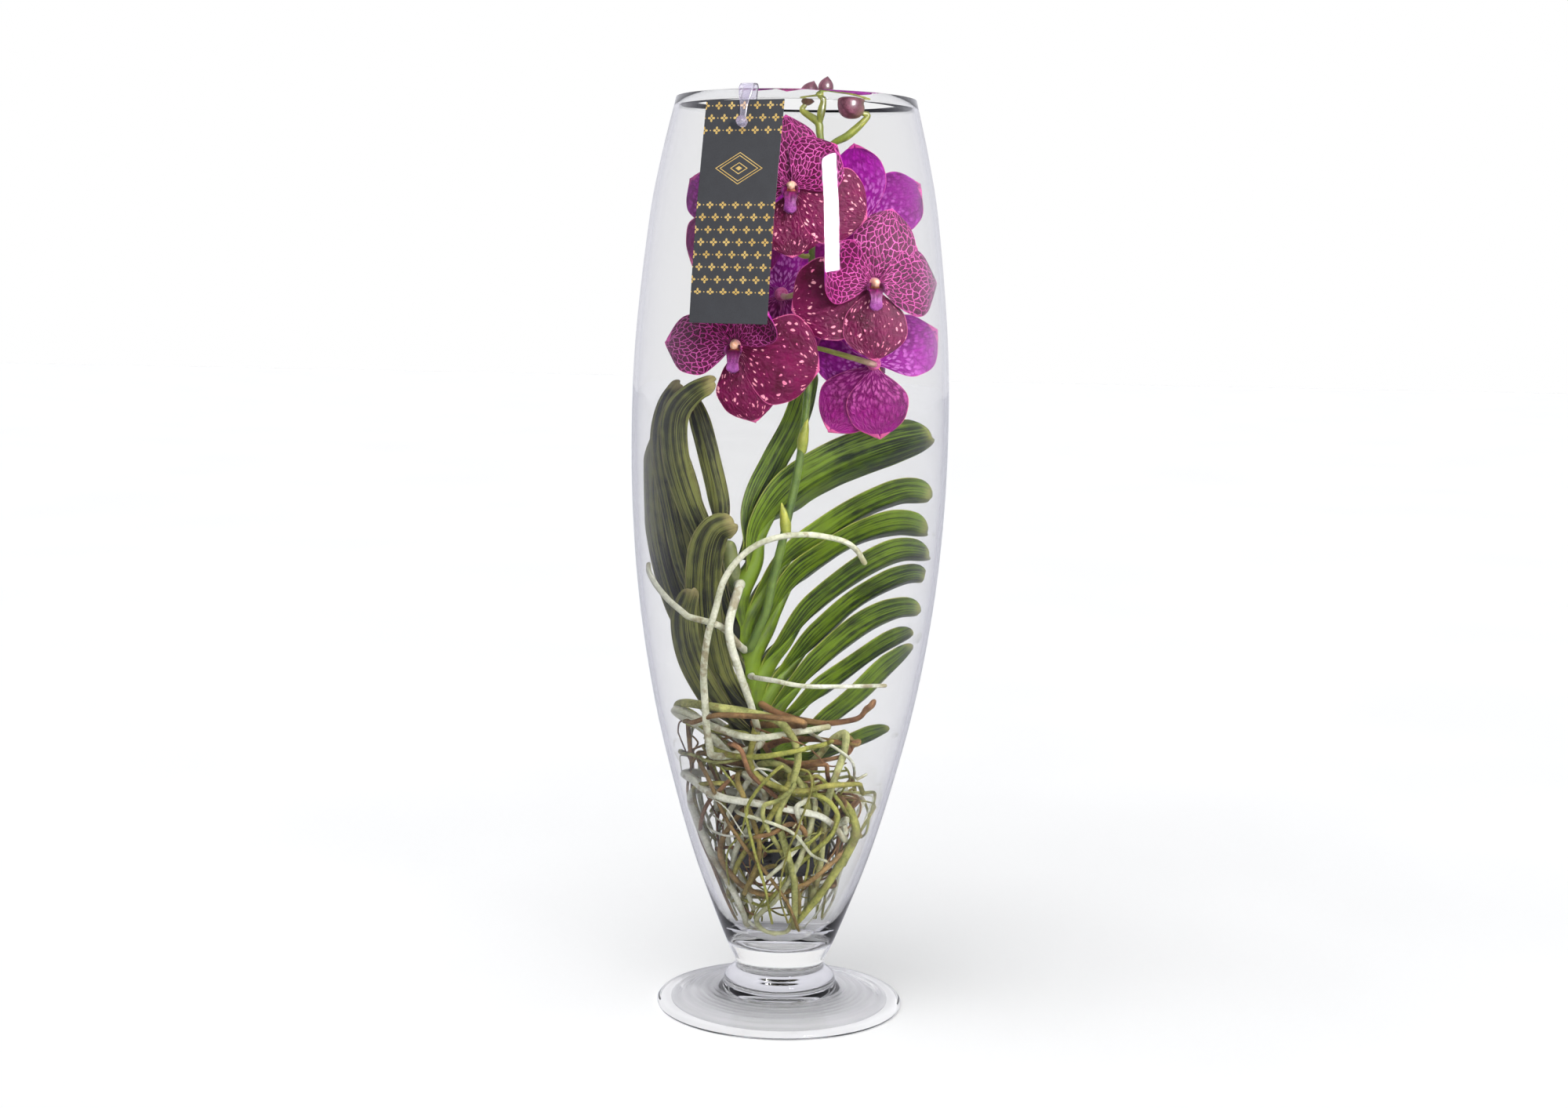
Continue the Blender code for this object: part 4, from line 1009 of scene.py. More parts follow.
def winding_root(draw):
    """A root that leaves the stem to the front and winds along the glass above the pot."""
    height = draw.uniform(*WINDING_HEIGHTS)
    start = draw.uniform(*WINDING_START)
    turn = draw.choice((-1, 1)) * draw.uniform(0.7, 2.0)
    drop, phase = draw.uniform(-0.045, 0.012), draw.uniform(0, math.tau)
    inset = draw.uniform(0.74, 0.96)
    route = []
    for share in np.linspace(0, 1, RULE_STEPS):
        level = height + drop * share + 0.007 * math.sin(phase + 7 * share)
        wide = between(0.007, glass_inside(level) * (inset + 0.05 * math.sin(phase + 6 * share)),
                       ease(share * 2.6))
        angle = start + turn * ease(share) + 0.1 * math.sin(phase + 8 * share)
        route.append(off_stem(height, level, share, wide, np.clip(angle, *WINDING_LIMITS)))
    return np.array(route)


def resting_root(draw):
    """A root that falls past the pot and curls on the floor of the bowl."""
    _, route = rule_root(draw)
    level, phase = draw.uniform(*RESTING_HEIGHTS), draw.uniform(0, math.tau)
    foot = route[5]
    start = math.atan2(foot[1], foot[0])
    turn = draw.choice((-1, 1)) * draw.uniform(1.0, 2.6)
    curl = []
    for share in np.linspace(0, 1, CURL_STEPS + 1)[1:]:
        height = between(foot[2], level, min(1.0, share * 2)) + 0.003 * math.sin(phase + 6 * share)
        wide = glass_inside(height) * (0.82 - 0.35 * share * abs(math.sin(phase)))
        angle = start + turn * share
        curl.append((wide * math.cos(angle), wide * math.sin(angle), height))
    return np.vstack([route[:6], curl])


def make_wiry_roots():
    draw = random.Random(WIRY_SEED)
    shape = Shape()
    for index in range(WIRY_ROOTS):
        route = (rule_root(draw)[1], winding_root(draw), resting_root(draw))[index % 3]
        radius = draw.choice(WIRY_RADII)
        jitter = np.array([[draw.gauss(0, WIRY_JITTER) for _ in range(3)] for _ in route])
        line = root_line(radius, route + jitter * np.linspace(0, 1, len(route))[:, None], 24)
        radii = radius * np.linspace(1.0, 0.6, len(line))
        limb(shape, line, radii, 8, draw.choice(WIRY_KINDS), uneven=knotty(draw, 0.07))
    new_piece("wiry_roots", shape, root_skin, "silver_root")


make_roots()
make_wiry_roots()

# The flower spike: a smooth green stalk with small papery sheaths at its joints. Its tip forks to
# the three buds.

SPIKE_ROUTE = [(-23.5, -10, 243), (-14, -12, 266), (-9, -13, 290), (-1, -13, 326), (7, -11, 370),
               (11, -8, 411), (12, -4, 442), (12, 0, 472), (12, 0, 503), (13, -1, 533),
               (16, -4, 556), (19, -8, 571)]
SPIKE_RADIUS = (3.1, 1.9)
SPIKE_SHEATHS = [(325, -0.9), (380, 0.9)]
SPIKE_STEPS = 150
# shares along a sheath of the spike, and its radii there
SPIKE_SHEATH_FORM = ((0, 0.33, 0.7, 1), (0.0033, 0.0038, 0.0026, 0.0006))
SPIKE_SHEATH_STEPS = 24
FORK_RADII = (0.0018, 0.0021, 0.0026, 0.0026, 0.0021, 0.0015)
FORK_STEPS = 40
# name: middle in millimetres, length, width, lean of the tip, and the fork that holds the bud
BUDS = {
    "bud_1": ((8.2, -3, 603.5), 17, 12, (0.34, 0, 0.94),
              [(18, -8, 566), (15.5, -8, 577), (14, -7, 585)]),
    "bud_2": ((18.6, -11.5, 606.6), 14.5, 9.6, (0.15, -0.2, 1),
              [(14.8, -7.5, 583), (16.0, -9, 591)]),
    "bud_3": ((34.5, -15.5, 595), 20, 16.5, (-0.75, -0.25, 0.42),
              [(18, -8, 566), (25, -10, 572), (34, -12.5, 577)]),
}
BUD_PROFILE = [(0.0, 0.0), (0.10, 0.52), (0.34, 0.92), (0.58, 1.0), (0.80, 0.68), (1.0, 0.0)]


def unit(way):
    return np.array(way, float) / np.linalg.norm(way)


def make_stalk_skin(name, base_dark, base_pale, tip_dark, tip_pale, span):
    """A smooth living stalk whose colour changes over the span of metres from its tip."""
    skin, tree, surface = finish_of(name)
    _, _, to_tip, _ = noted(tree)
    mottle = patches(tree, object_place(tree), 120.0, 700.0)
    base = mixed(tree, mottle["Value"], base_dark, base_pale)
    tip = mixed(tree, mottle["Value"], tip_dark, tip_pale)
    near = fall(tree, sums(tree, "DIVIDE", to_tip, span), 0.0, 1.0)
    set_surface(tree, surface, Base_Color=mixed(tree, near, base, tip), Roughness=0.42,
                Normal=bump(tree, mottle["Height"], 0.2, 0.0003))
    return skin


def make_spike():
    skin = make_stalk_skin("spike_skin", tone(52, 74, 22), tone(92, 112, 40), tone(112, 118, 34),
                           tone(168, 168, 62), 0.045)
    thick, thin = SPIKE_RADIUS
    shape = Shape()
    line = smooth_route(route_of(SPIKE_ROUTE), SPIKE_STEPS)
    limb(shape, line, 0.001 * np.linspace(thick, thin, SPIKE_STEPS), 20,
         uneven=lambda _, turn: 0.03 * np.sin(2 * turn))
    for height, side in SPIKE_SHEATHS:
        foot = on_route(SPIKE_ROUTE, height)
        line = smooth_route(foot + route_of([(0, 0, -6), (side * 0.8, -0.6, 2),
                                             (side * 2.4, -1.6, 9), (side * 3.6, -2.2, 14)]),
                            SPIKE_SHEATH_STEPS)
        limb(shape, line,
             np.interp(np.linspace(0, 1, SPIKE_SHEATH_STEPS), *SPIKE_SHEATH_FORM), 16)
    for middle, length, _, lean, fork in BUDS.values():
        lean = unit(lean)
        foot = np.array(middle) * 0.001 - lean * length * 0.00047
        line = smooth_route([*route_of(fork), foot - lean * 0.004, foot], FORK_STEPS)
        limb(shape, line, spread(FORK_RADII, FORK_STEPS), 16)
    new_piece("spike_stalk", shape, skin, "green_stem", "flower_spike")


make_spike()

# The buds: three closed blooms at the tip, dusky purple over green, with the seams of the folded
# sepals running to the point.

BUD_TURNS = 48
BUD_ROWS = 30
BUD_TWIST = 0.35


def make_bud_skin():
    skin, tree, surface = finish_of("bud_skin")
    _, _, share, seam = noted(tree)
    mottle = patches(tree, object_place(tree), 160.0, 900.0)
    purple = mixed(tree, mottle["Value"], tone(88, 34, 50), tone(148, 84, 106))
    low = fall(tree, sums(tree, "MULTIPLY_ADD", mottle["Value"], 0.25, share), 0.15, 0.60)
    colour = mixed(tree, times(tree, low, 0.5), purple, tone(128, 122, 62))
    colour = mixed(tree, times(tree, seam, 0.5), colour, tone(52, 16, 30))
    set_surface(tree, surface, Base_Color=colour, Roughness=0.42, Coat_Weight=0.1,
                Normal=bump(tree, mottle["Height"], 0.3, 0.0003))
    return skin


def make_buds():
    skin = make_bud_skin()
    outline = smooth_route(BUD_PROFILE, BUD_ROWS)
    share = outline[:, :1]
    turns = np.arange(BUD_TURNS) * math.tau / BUD_TURNS
    seam = np.exp(-((np.mod(turns * 3 / math.tau, 1) - 0.5) / 0.07) ** 2)
    swirl = turns + BUD_TWIST * share
    notes = np.stack(np.broadcast_arrays(turns, share, seam), axis=2)
    faces = grid_faces(BUD_ROWS, BUD_TURNS, wrap=True)
    faces.append(tuple(range(BUD_TURNS))[::-1])
    faces.append(tuple(range((BUD_ROWS - 1) * BUD_TURNS, BUD_ROWS * BUD_TURNS)))
    for name, (middle, length, width, lean, _) in BUDS.items():
        wide = np.maximum(outline[:, 1], 0.004)[:, None] * (1 - 0.07 * seam) * width * 0.0005
        along = np.broadcast_to((share - 0.5) * length * 0.001, wide.shape)
        points = np.stack([wide * np.cos(swirl), wide * np.sin(swirl), along], axis=2)
        turn_to = Vector(lean).to_track_quat("Z", "Y").to_matrix()
        points = points @ np.array(turn_to).T + np.array(middle) * 0.001
        shape = Shape()
        shape.add(points.reshape(-1, 3), faces, notes.reshape(-1, 3))
        new_piece(f"closed_{name}", shape, skin, "bud", name)


make_buds()

# The blooms: five spotted tepals round a short column and a small lip. The petals and the top sepal
# are netted, the two lower sepals are dark with pale specks, and all are violet behind.

# name: middle, way it faces, turn clockwise in degrees, size, height where its stalk leaves
BLOOMS = {
    "bloom_1": ((51, -46, 481), (0.10, -0.97, 0.12), 0, 1.0, 452),
    "bloom_2": ((-2, -50, 540), (-0.06, -0.97, 0.14), 0, 1.0, 521),
    "bloom_3": ((-37, 6, 526), (-0.48, 0.86, 0.15), -6, 0.92, 499),
    "bloom_4": ((-35, -50, 441), (-0.16, -0.97, 0.06), 0, 1.0, 420),
    "bloom_5": ((54, -8, 430), (0.22, 0.95, -0.10), 0, 1.0, 440),
    "bloom_6": ((47, 22, 521), (0.40, 0.90, 0.10), 0, 1.0, 510),
    "bloom_7": ((-8, 36, 474), (-0.25, 0.95, 0.08), 10, 0.95, 476),
}
# angle from the top, length, half width, how far the tip bends to the front
TEPALS = {
    "dorsal_sepal": (0, 46, 19, -1.5),
    "left_petal": (-66, 42, 20, 0),
    "right_petal": (66, 42, 20, 0),
    "left_sepal": (-145, 48, 23, -2),
    "right_sepal": (145, 48, 23, -2),
}
# the tepals that grew another way
BENT_TEPALS = {
    "bloom_1": {"dorsal_sepal": (13, 47, 19, 0), "left_petal": (-72, 40, 20, 22),
                "right_petal": (84, 46, 21, -20), "left_sepal": (-107, 52, 26, -6),
                "right_sepal": (178, 45, 20, -2)},
    "bloom_2": {"dorsal_sepal": (-6, 44, 18, 0), "left_petal": (-80, 40, 19, -4),
                "right_petal": (46, 37, 19, 4), "left_sepal": (178, 40, 21, 0),
                "right_sepal": (110, 48, 24, -3)},
    "bloom_4": {"dorsal_sepal": (-24, 44, 19, -2), "left_petal": (-88, 43, 19, -2),
                "right_petal": (42, 38, 17, 24), "left_sepal": (164, 46, 19, 0),
                "right_sepal": (104, 52, 28, -2)},
    "bloom_5": {"dorsal_sepal": (14, 44, 19, 0), "left_petal": (-59, 44, 20, 2),
                "right_petal": (76, 40, 19, 0), "left_sepal": (-172, 46, 20, -2),
                "right_sepal": (148, 50, 20, -2)},
    "bloom_6": {"dorsal_sepal": (7, 50, 19, 0), "left_petal": (-56, 44, 20, 0)},
}
# lift off the middle, arch along the tepal, curl of its edges
PETAL_FORM = (1.5, 1.8, 0.5)
DORSAL_FORM = (-1.2, 1.4, -1.4)
LEFT_SEPAL_FORM = (-2.6, 1.6, -1.2)
RIGHT_SEPAL_FORM = (-0.6, 1.6, -1.2)
TEPAL_FORMS = {"dorsal_sepal": DORSAL_FORM, "left_petal": PETAL_FORM, "right_petal": PETAL_FORM,
               "left_sepal": LEFT_SEPAL_FORM, "right_sepal": RIGHT_SEPAL_FORM}
TEPAL_OUTLINE = [(0.0, 0.10), (0.08, 0.26), (0.22, 0.62), (0.36, 0.87), (0.50, 1.0), (0.65, 1.02),
                 (0.80, 0.90), (0.92, 0.66), (1.00, 0.36), (1.03, 0.03)]
TEPAL_ROWS = 44
TEPAL_ACROSS = np.sin(np.linspace(-math.pi / 2, math.pi / 2, 25))
PETAL_THICKNESS = 0.0007
COLUMN = [(-0.0060, 0.0024), (-0.0030, 0.0046), (0.0015, 0.0038), (0.0050, 0.0026),
          (0.0080, 0.0024)]
COLUMN_ROWS = 40
CAP_REACH = (0.0072, 0.0098)
CAP_RADIUS = 0.0021
CAP_LIFT = 0.0004
CAP_ROWS = 10
LIP_ROUTE = [(1.0, 1.0), (7.5, 5.0), (9.5, 11.0), (8.0, 16.5)]
LIP_WIDTHS = (2.2, 4.6, 3.4, 4.2)
LIP_ROWS = 28
LIP_THICKNESS = 0.0013
LOBE_THICKNESS = 0.0009
STALK_RADIUS = (1.5, 1.9)
STALK_STEPS = 60
HALO = tone(150, 14, 108)


def soft_step(tree, value, start, end):
    """0 on the start's side of two values and 1 on the end's side, with a soft change between."""
    return node(tree, "ShaderNodeMapRange", {"Value": value, 1: start, 2: end},
                interpolation_type="SMOOTHSTEP").outputs[0]


def make_cells_group():
    """Cells that fan out along a tepal: the net between them, their hearts and scattered specks."""
    group, given, out = effect_group(
        "tepal_cells", [("Place", "NodeSocketVector", None), ("Across", "NodeSocketFloat", 8.0),
                        ("Along", "NodeSocketFloat", 13.0), ("Net Width", "NodeSocketFloat", 0.1)],
        [("Net", "NodeSocketFloat"), ("Heart", "NodeSocketFloat"), ("Speck", "NodeSocketFloat"),
         ("Height", "NodeSocketFloat")])
    size = node(group, "ShaderNodeCombineXYZ", {0: given["Across"], 1: given["Along"],
                                                2: 4.0}).outputs[0]
    place = node(group, "ShaderNodeVectorMath", {0: given["Place"], 1: size},
                 operation="MULTIPLY").outputs[0]
    shift = node(group, "ShaderNodeTexNoise", {"Vector": place, "Scale": 0.8, "Detail": 2.0})
    warped = node(group, "ShaderNodeVectorMath",
                  {0: shift.outputs["Color"], 1: (1.1, 1.1, 0.0), 2: place},
                  operation="MULTIPLY_ADD").outputs[0]
    edge = node(group, "ShaderNodeTexVoronoi", {"Vector": warped, "Scale": 1.0},
                feature="DISTANCE_TO_EDGE", voronoi_dimensions="2D").outputs["Distance"]
    heart = node(group, "ShaderNodeTexVoronoi", {"Vector": warped, "Scale": 1.0},
                 voronoi_dimensions="2D")
    from_heart = heart.outputs["Distance"]
    lot = node(group, "ShaderNodeSeparateXYZ", {0: heart.outputs["Color"]}).outputs["X"]
    reach = sums(group, "MULTIPLY_ADD", lot, 0.32, -0.04)
    inside = sums(group, "SUBTRACT", reach, from_heart)
    group.links.new(soft_step(group, edge, given["Net Width"], 0.0), out["Net"])
    group.links.new(soft_step(group, from_heart, 0.46, 0.16), out["Heart"])
    group.links.new(soft_step(group, inside, 0.0, 0.09), out["Speck"])
    group.links.new(edge, out["Height"])
    return group


cells_group = make_cells_group()


def make_tepal_skin(name, cells, across, along, net_width, ground, mark, rim, behind):
    """A tepal's skin: a net or specks in the mark's colour on the ground, and violet behind."""
    skin, tree, surface = finish_of(name)
    place, from_rib, out, behind_it = noted(tree)
    far = sums(tree, "ABSOLUTE", from_rib)
    pattern = node(tree, "ShaderNodeGroup", {"Place": place, "Across": across, "Along": along,
                                             "Net Width": net_width}, node_tree=cells_group).outputs
    blotch = patches(tree, object_place(tree), 55.0, 600.0, 0.3)
    base = mixed(tree, blotch["Value"], *ground)
    marks = mixed(tree, blotch["Value"], *mark)
    front = mixed(tree, rise(tree, pattern[cells], 0.0, 0.55), base, HALO)
    front = mixed(tree, pattern[cells], front, marks)
    edge = rise(tree, far, 0.965, 1.0)
    tip = rise(tree, out, 0.985, 1.0)
    border = times(tree, sums(tree, "MAXIMUM", edge, tip), 0.85)
    dark_behind, violet, cell_behind = behind
    ground_behind = mixed(tree, blotch["Value"], dark_behind, violet)
    pale = ramp(tree, sums(tree, "MULTIPLY_ADD", blotch["Value"], 0.3, out),
                [(0.2, cell_behind), (1.0, violet)])
    back = mixed(tree, times(tree, pattern["Heart"], 0.85), ground_behind, pale)
    colour = mixed(tree, border, mixed(tree, behind_it, front, back), rim)
    height = sums(tree, "MULTIPLY_ADD", pattern["Height"], 0.9, times(tree, blotch["Height"], 0.35))
    set_surface(tree, surface, Base_Color=colour, Roughness=0.44, Specular_IOR_Level=0.15,
                Sheen_Weight=0.02, Sheen_Roughness=0.4, Normal=bump(tree, height, 0.55, 0.0012))
    return skin


def bloom_axes(facing, turn):
    """The way the bloom faces, its top and its right-hand side, turned clockwise."""
    front = unit(facing)
    right = unit(np.cross((0, 0, 1), front))
    top = np.cross(front, right)
    turned_by = math.radians(turn)
    new_top = top * math.cos(turned_by) + right * math.sin(turned_by)
    return front, new_top, np.cross(new_top, front)


def add_tepal(shape, middle, axes, size, form, draw):
    """A tepal as a fine sheet with a midrib groove and gently ruffled edges."""
    angle, length, half, bend, lift, arch, curl = form
    front, top, right = axes
    turn = math.radians(angle)
    out = top * math.cos(turn) + right * math.sin(turn)
    side = right * math.cos(turn) - top * math.sin(turn)
    edge = smooth_route(TEPAL_OUTLINE, TEPAL_ROWS)
    s, wide = edge[:, :1], np.maximum(edge[:, 1:], 0.02)
    t = TEPAL_ACROSS[None]
    waves, shift = draw.uniform(9, 14), draw.uniform(0, 6)
    wide = wide * (1 + 0.022 * np.sin(s * waves * 1.3 + shift))
    ruffle = 0.9 * np.abs(t) ** 3 * np.sin(s * waves + shift + 1.5 * t) * gentle(s * 2)
    groove = -0.55 * np.exp(-(t / 0.09) ** 2) * gentle(s * 4) * gentle((1 - s) * 4)
    swell = 0.5 * np.sin(s * 5 + shift) * np.sin(t * 2.4 + shift) * gentle(s * 3)
    lean = bend * s * s
    reach = 2.0 + length * s - 3.0 * s * t * t - 0.3 * np.abs(lean) * s
    depth = lift + arch * 4 * s * (1 - s) + curl * t * t * wide + ruffle + groove + swell + lean
    grid = middle + 0.001 * size * (out * reach[..., None] + side * (half * wide * t)[..., None]
                                    + front * depth[..., None])
    thickness = PETAL_THICKNESS * (0.45 + 0.55 * np.sqrt(1 - t * t * 0.98))
    thick_sheet(shape, kept_inside(grid, 0.0004), thickness, t, s)


def make_column_flesh():
    flesh, tree, surface = finish_of("column_flesh")
    _, _, to_tip, _ = noted(tree)
    mottle = patches(tree, object_place(tree), 400.0, 1200.0)
    pale = mixed(tree, mottle["Value"], tone(208, 140, 96), tone(238, 206, 186))
    dusk = mixed(tree, mottle["Value"], tone(150, 20, 100), tone(226, 120, 176))
    colour = mixed(tree, rise(tree, to_tip, 0.0030, 0.0065), pale, dusk)
    set_surface(tree, surface, Base_Color=colour, Roughness=0.4,
                Normal=bump(tree, mottle["Height"], 0.2, 0.0002))
    return flesh


def make_lip_flesh():
    flesh, tree, surface = finish_of("lip_flesh")
    _, _, out, _ = noted(tree)
    mottle = patches(tree, object_place(tree), 300.0, 1200.0)
    dark = mixed(tree, mottle["Value"], tone(66, 4, 46), tone(112, 12, 84))
    # Partly the lip's own lilac and partly painted sheen: the lip turns lilac from about a third of
    # its length to its end.
    lilac_and_sheen = mixed(tree, mottle["Value"], tone(96, 16, 92), tone(168, 84, 168))
    colour = mixed(tree, rise(tree, out, 0.35, 1.0), dark, lilac_and_sheen)
    throat = fall(tree, out, 0.10, 0.26)
    colour = mixed(tree, times(tree, throat, 0.9), colour, tone(224, 152, 60))
    set_surface(tree, surface, Base_Color=colour, Roughness=0.32, Coat_Weight=0.15,
                Normal=bump(tree, mottle["Height"], 0.3, 0.0003))
    return flesh


def make_column(name, middle, axes, flesh):
    """The short column at a bloom's heart, with its anther cap."""
    front, top, _ = axes
    shape = Shape()
    outline = smooth_route(COLUMN, COLUMN_ROWS)
    bow = 0.001 * np.sin(np.linspace(0, 2.6, COLUMN_ROWS))[:, None]
    limb(shape, middle + front * outline[:, :1] + top * bow, outline[:, 1], 28)
    cap = middle + front * np.linspace(*CAP_REACH, CAP_ROWS)[:, None] + top * CAP_LIFT
    limb(shape, cap, CAP_RADIUS * np.sin(np.linspace(0.9, 2.3, CAP_ROWS)), 24)
    new_piece(f"column_of_{name}", shape, flesh, "petal", name)


def make_lip(name, middle, axes, flesh):
    """The lip that hangs from the column, with two ridges and its two side lobes."""
    front, top, right = axes
    shape = Shape()
    path = smooth_route(LIP_ROUTE, LIP_ROWS) * 0.001
    wide = spread(LIP_WIDTHS, LIP_ROWS)[:, None] * 0.001
    t = np.linspace(-1, 1, 17)[None]
    s = np.linspace(0, 1, LIP_ROWS)[:, None]
    round_end = np.sqrt(np.clip(1 - gentle((s - 0.82) / 0.18) ** 2, 0.01, 1))
    hollow = 0.0016 * t * t * (1 - s) - 0.0012 * t * t * s
    ridge = 0.0006 * np.exp(-((np.abs(t) - 0.3) / 0.12) ** 2) * gentle((0.8 - s) * 3)
    grid = (middle + (front * path[:, :1] - top * path[:, 1:])[:, None]
            + right * (wide * round_end * t)[..., None] + front * (hollow + ridge)[..., None])
    thick_sheet(shape, grid, LIP_THICKNESS, t, s)
    u = np.linspace(0, 1, 12)[:, None]
    v = np.linspace(-1, 1, 9)[None]
    sweep = 0.0040 * u * (1 - 0.4 * u)
    reach = 0.0048 * u + 0.0010 * v * v
    height = 0.0030 * v * np.sqrt(np.clip(1 - u * u * 0.96, 0, 1)) - 0.001 * u
    for hand in (-1, 1):
        lobe = (middle + front * 0.0045 - top * 0.0020 + right * hand * 0.0028
                + right * (hand * sweep)[..., None] + front * reach[..., None]
                + top * height[..., None])
        thick_sheet(shape, lobe if hand > 0 else lobe[:, ::-1], LOBE_THICKNESS, v,
                    0.3 + 0.25 * u)
    new_piece(f"lip_of_{name}", shape, flesh, "petal", name)


def make_bloom_stalk(name, middle, front, height, skin):
    """The ribbed stalk that turns from the spike to the hub behind a bloom."""
    seat = middle + front * (COLUMN[0][0] + 0.001)
    foot = on_route(SPIKE_ROUTE, height)
    way = seat - front * 0.010 - foot
    way[2] *= 0.4
    way = unit(way)
    start = foot + way * 0.0012
    line = smooth_route([start, start + way * 0.009, seat - front * 0.010, seat], STALK_STEPS)
    shape = Shape()
    limb(shape, line, 0.001 * np.linspace(*STALK_RADIUS, STALK_STEPS), 24,
         uneven=lambda reach, turn: 0.09 * np.sin(turn * 6 + reach * 120))
    new_piece(f"stalk_of_{name}", shape, skin, "flower_stalk", name.replace("bloom", "bloom_stalk"))


def make_blooms():
    petal_skin = make_tepal_skin("petal_skin", "Net", 6.0, 10.5, 0.115,
                                 (tone(50, 0, 28), tone(82, 0, 52)),
                                 (tone(128, 6, 92), tone(192, 100, 166)), tone(186, 64, 142),
                                 (tone(104, 4, 96), tone(150, 20, 146), tone(206, 126, 204)))
    sepal_skin = make_tepal_skin("sepal_skin", "Speck", 7.0, 9.5, 0.10,
                                 (tone(56, 0, 26), tone(98, 4, 58)),
                                 (tone(190, 90, 130), tone(232, 176, 176)), tone(190, 84, 134),
                                 (tone(78, 2, 58), tone(116, 8, 96), tone(176, 84, 150)))
    flesh, lip_flesh = make_column_flesh(), make_lip_flesh()
    stalk_skin = make_stalk_skin("stalk_skin", tone(140, 146, 62), tone(178, 176, 96),
                                 tone(178, 112, 130), tone(214, 168, 172), 0.030)
    for name, (middle, facing, turn, size, height) in BLOOMS.items():
        middle = np.array(middle) * 0.001
        axes = bloom_axes(facing, turn)
        groups = {"petals": (Shape(), petal_skin), "sepals": (Shape(), sepal_skin)}
        for tepal, usual in TEPALS.items():
            form = (*BENT_TEPALS.get(name, {}).get(tepal, usual), *TEPAL_FORMS[tepal])
            group = "sepals" if tepal in ("left_sepal", "right_sepal") else "petals"
            add_tepal(groups[group][0], middle, axes, size, form, random.Random(name + tepal))
        for group, (shape, skin) in groups.items():
            new_piece(f"{group}_of_{name}", shape, skin, "petal", name)
        make_column(name, middle, axes, flesh)
        make_lip(name, middle, axes, lip_flesh)
        make_bloom_stalk(name, middle, axes[0], height, stalk_skin)


make_blooms()

# The hang tag: a narrow card, dark all over, with small motifs in gold foil. It leans on the bowl
# from a hole near its top edge.

TAG_TURN = math.radians(-112.5)
TAG_SIDE = (-math.sin(TAG_TURN), math.cos(TAG_TURN), 0)
TAG_HOLE_Z = 579.0
FLORET_SIZE = 0.0024
FLORET_STEP = (0.0086, 0.0076)
FLORET_ROWS = ((0.5715, 0.5915), (0.4735, 0.5300))
ORNAMENT_HEIGHT = 0.5505
ORNAMENT_SLANT = 0.62
ORNAMENT_RINGS = (0.0096, 0.0078, 0.0034)
ORNAMENT_LINE = 0.00028
ORNAMENT_HEART = 0.0014
FOIL_EDGE = 0.00006


def along_tag(tree):
    """Metres to the side of the card's middle line, and metres above the foot."""
    place = object_place(tree)
    height = node(tree, "ShaderNodeSeparateXYZ", {0: place}).outputs["Z"]
    return dot(tree, place, TAG_SIDE), height


def step_under(tree, value, limit, soft=FOIL_EDGE):
    """1 where the value is under the limit, with a soft edge, and 0 past it."""
    return soft_step(tree, value, limit + soft, limit - soft)


def within_step(tree, value, step):
    """How far a value lies past the middle of the step that it falls in."""
    return sums(tree, "SUBTRACT", sums(tree, "FLOORED_MODULO", value, step), step / 2)


def length_of(tree, x, y):
    squares = [sums(tree, "POWER", sums(tree, "ABSOLUTE", part), 2.0) for part in (x, y)]
    return sums(tree, "SQRT", sums(tree, "ADD", *squares))


def floret_mask(tree, across, height):
    """Four-petalled florets in rows, every second row half a step aside, with dots between."""
    step_across, step_up = FLORET_STEP
    row = sums(tree, "FLOOR", sums(tree, "DIVIDE", height, step_up))
    aside = times(tree, sums(tree, "PINGPONG", row, 1.0), step_across / 2)
    x = within_step(tree, sums(tree, "ADD", across, aside), step_across)
    y = within_step(tree, height, step_up)
    far = length_of(tree, x, y)
    turn = sums(tree, "ARCTAN2", y, x)
    petal = sums(tree, "ABSOLUTE", sums(tree, "COSINE", times(tree, turn, 2.0)))
    outline = sums(tree, "MULTIPLY_ADD", petal, FLORET_SIZE * 0.80, FLORET_SIZE * 0.20)
    flower = step_under(tree, sums(tree, "SUBTRACT", far, outline), 0.0, 0.00008)
    eye = step_under(tree, far, FLORET_SIZE * 0.22)
    dot_x = sums(tree, "SUBTRACT", sums(tree, "ABSOLUTE", x), step_across / 2)
    dots = step_under(tree, length_of(tree, dot_x, y), FLORET_SIZE * 0.16)
    return sums(tree, "MAXIMUM", sums(tree, "SUBTRACT", flower, eye), dots)


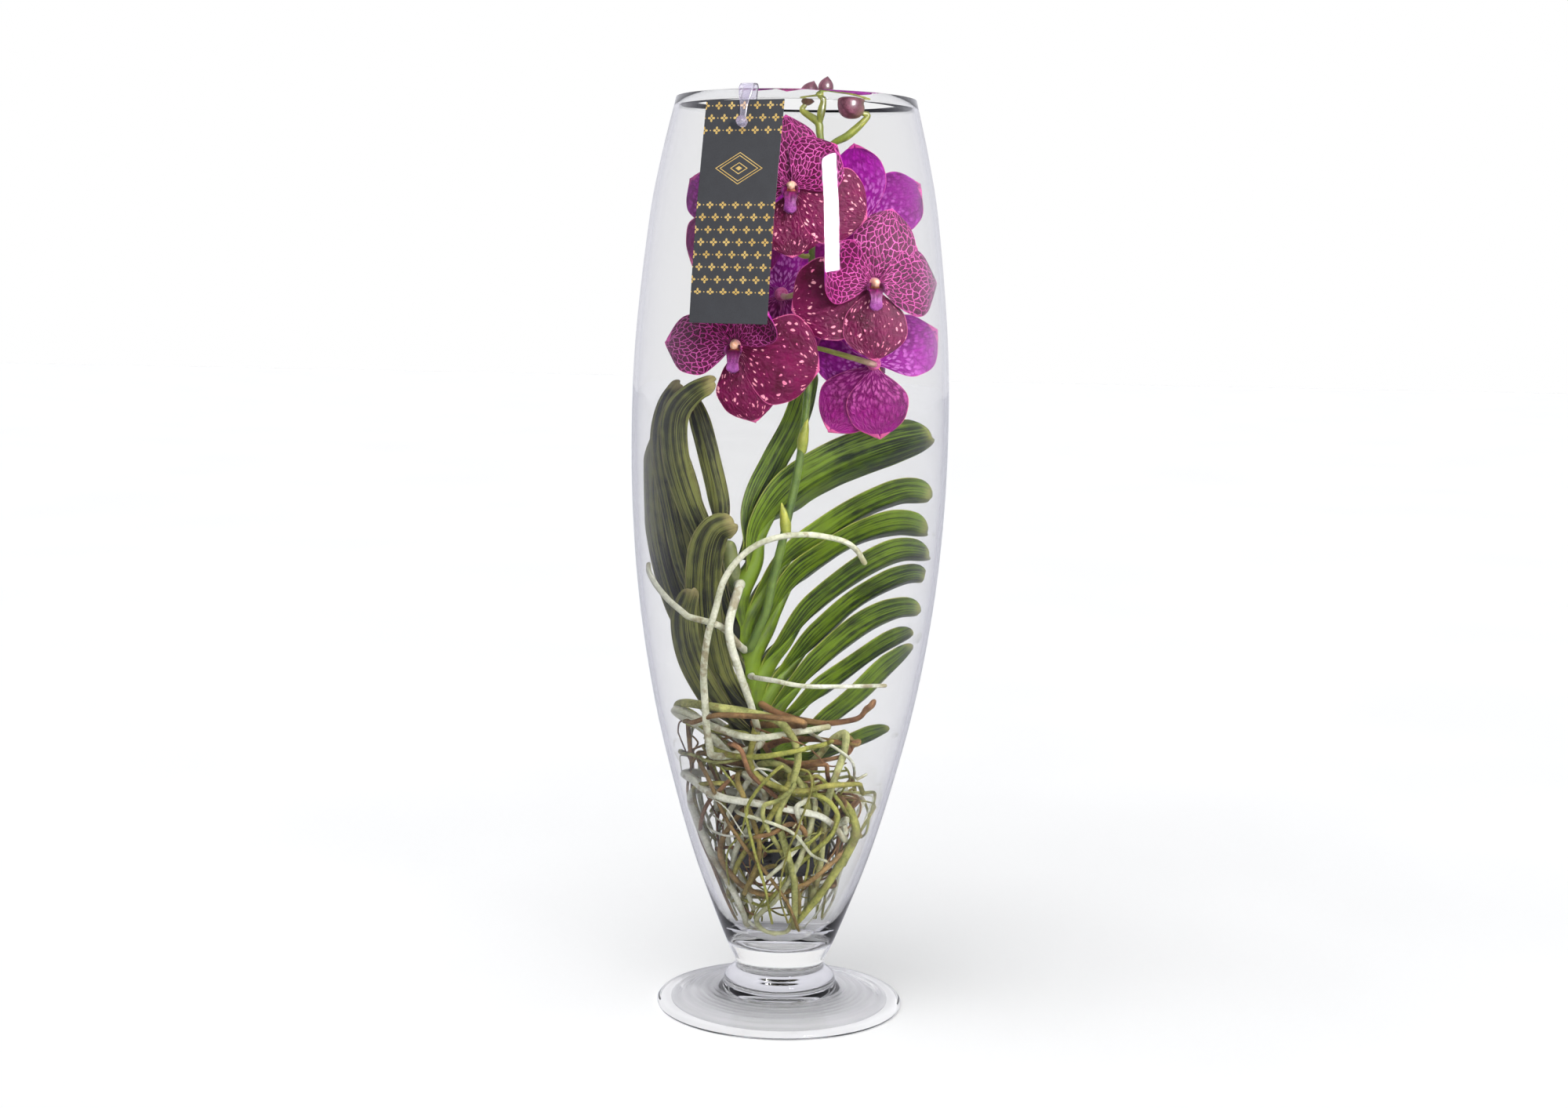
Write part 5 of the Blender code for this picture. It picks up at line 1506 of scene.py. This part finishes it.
def make_tag():
    card, tree, surface = finish_of("printed_card")
    across, height = along_tag(tree)
    florets = floret_mask(tree, across, height)
    bands = 0.0
    for low, high in FLORET_ROWS:
        inside = times(tree, sums(tree, "GREATER_THAN", height, low),
                       sums(tree, "LESS_THAN", height, high))
        bands = sums(tree, "MAXIMUM", inside, bands)
    gold = times(tree, florets, bands)
    raised = sums(tree, "SUBTRACT", height, ORNAMENT_HEIGHT)
    diamond = sums(tree, "ADD", times(tree, sums(tree, "ABSOLUTE", across), ORNAMENT_SLANT),
                   sums(tree, "ABSOLUTE", raised))
    for size in ORNAMENT_RINGS:
        ring = sums(tree, "ABSOLUTE", sums(tree, "SUBTRACT", diamond, size))
        gold = sums(tree, "MAXIMUM", gold, step_under(tree, ring, ORNAMENT_LINE))
    gold = sums(tree, "MAXIMUM", gold, step_under(tree, diamond, ORNAMENT_HEART))
    paper = patches(tree, object_place(tree), 90.0, 1500.0, 0.5)
    dark = mixed(tree, paper["Value"], tone(30, 32, 40), tone(40, 43, 51))
    foil = mixed(tree, paper["Value"], tone(214, 172, 84), tone(250, 218, 140))
    set_surface(tree, surface, Base_Color=mixed(tree, gold, dark, foil),
                Metallic=times(tree, gold, 0.45),
                Roughness=sums(tree, "MULTIPLY_ADD", gold, -0.22, 0.58),
                Normal=bump(tree, paper["Height"], 0.15, 0.0002))
    bpy.data.objects["hang_tag"].material_slots[0].material = card


make_tag()

# The hook: a strap of clear plastic bent over the vase's rim. A pin at its end passes through the
# card's hole and is closed by a small round button.

# radius and height of the strap's middle, and its width
HOOK_ROUTE = [(77.4, 583, 10), (73.7, 597, 10), (73.5, 600.4, 10), (74.6, 602.3, 10),
              (77.2, 602.6, 10), (79.6, 601.2, 10), (81.8, 597.4, 8), (83.4, 592.0, 5),
              (84.5, 586, 4), (85.8, 579, 4)]
HOOK_THICKNESS = 0.0010
HOOK_ROWS = 70
# where the pin and its button start and end from the vase's axis, in millimetres, and their radius
PIN_PARTS = ((83.6, 86.4, 0.0022), (85.9, 87.8, 0.0033))


def on_tag_line(radius, height):
    """A point at this radius and height on the tag's line, from millimetres."""
    return np.array((math.cos(TAG_TURN) * radius, math.sin(TAG_TURN) * radius, height)) * 0.001


def make_tag_hook():
    plastic, tree, surface = finish_of("clear_plastic")
    scuff = patches(tree, object_place(tree), 120.0, 900.0)
    set_surface(tree, surface, Base_Color=tone(236, 232, 244), Transmission_Weight=0.9, IOR=1.45,
                Roughness=sums(tree, "MULTIPLY_ADD", scuff["Value"], 0.12, 0.06),
                Normal=bump(tree, scuff["Height"], 0.15, 0.0003))
    shape = Shape()
    route = smooth_route([on_tag_line(radius, height) for radius, height, _ in HOOK_ROUTE],
                         HOOK_ROWS)
    wide = spread([width for _, _, width in HOOK_ROUTE], HOOK_ROWS)[:, None] * 0.0005
    t = np.linspace(-1, 1, 9)[None]
    s = np.linspace(0, 1, HOOK_ROWS)[:, None]
    grid = route[:, None] + np.array(TAG_SIDE) * (wide * t)[..., None]
    thick_sheet(shape, grid, HOOK_THICKNESS * (1 - 0.3 * t ** 4), t, s)
    pin_z = TAG_HOLE_Z - 0.1
    for near, far, radius in PIN_PARTS:
        line = np.linspace(on_tag_line(near, pin_z), on_tag_line(far, pin_z + 0.4), 12)
        limb(shape, line, np.full(12, radius), 32)
    new_piece("tag_strap", shape, plastic, "clear_plastic", "tag_hook")


make_tag_hook()
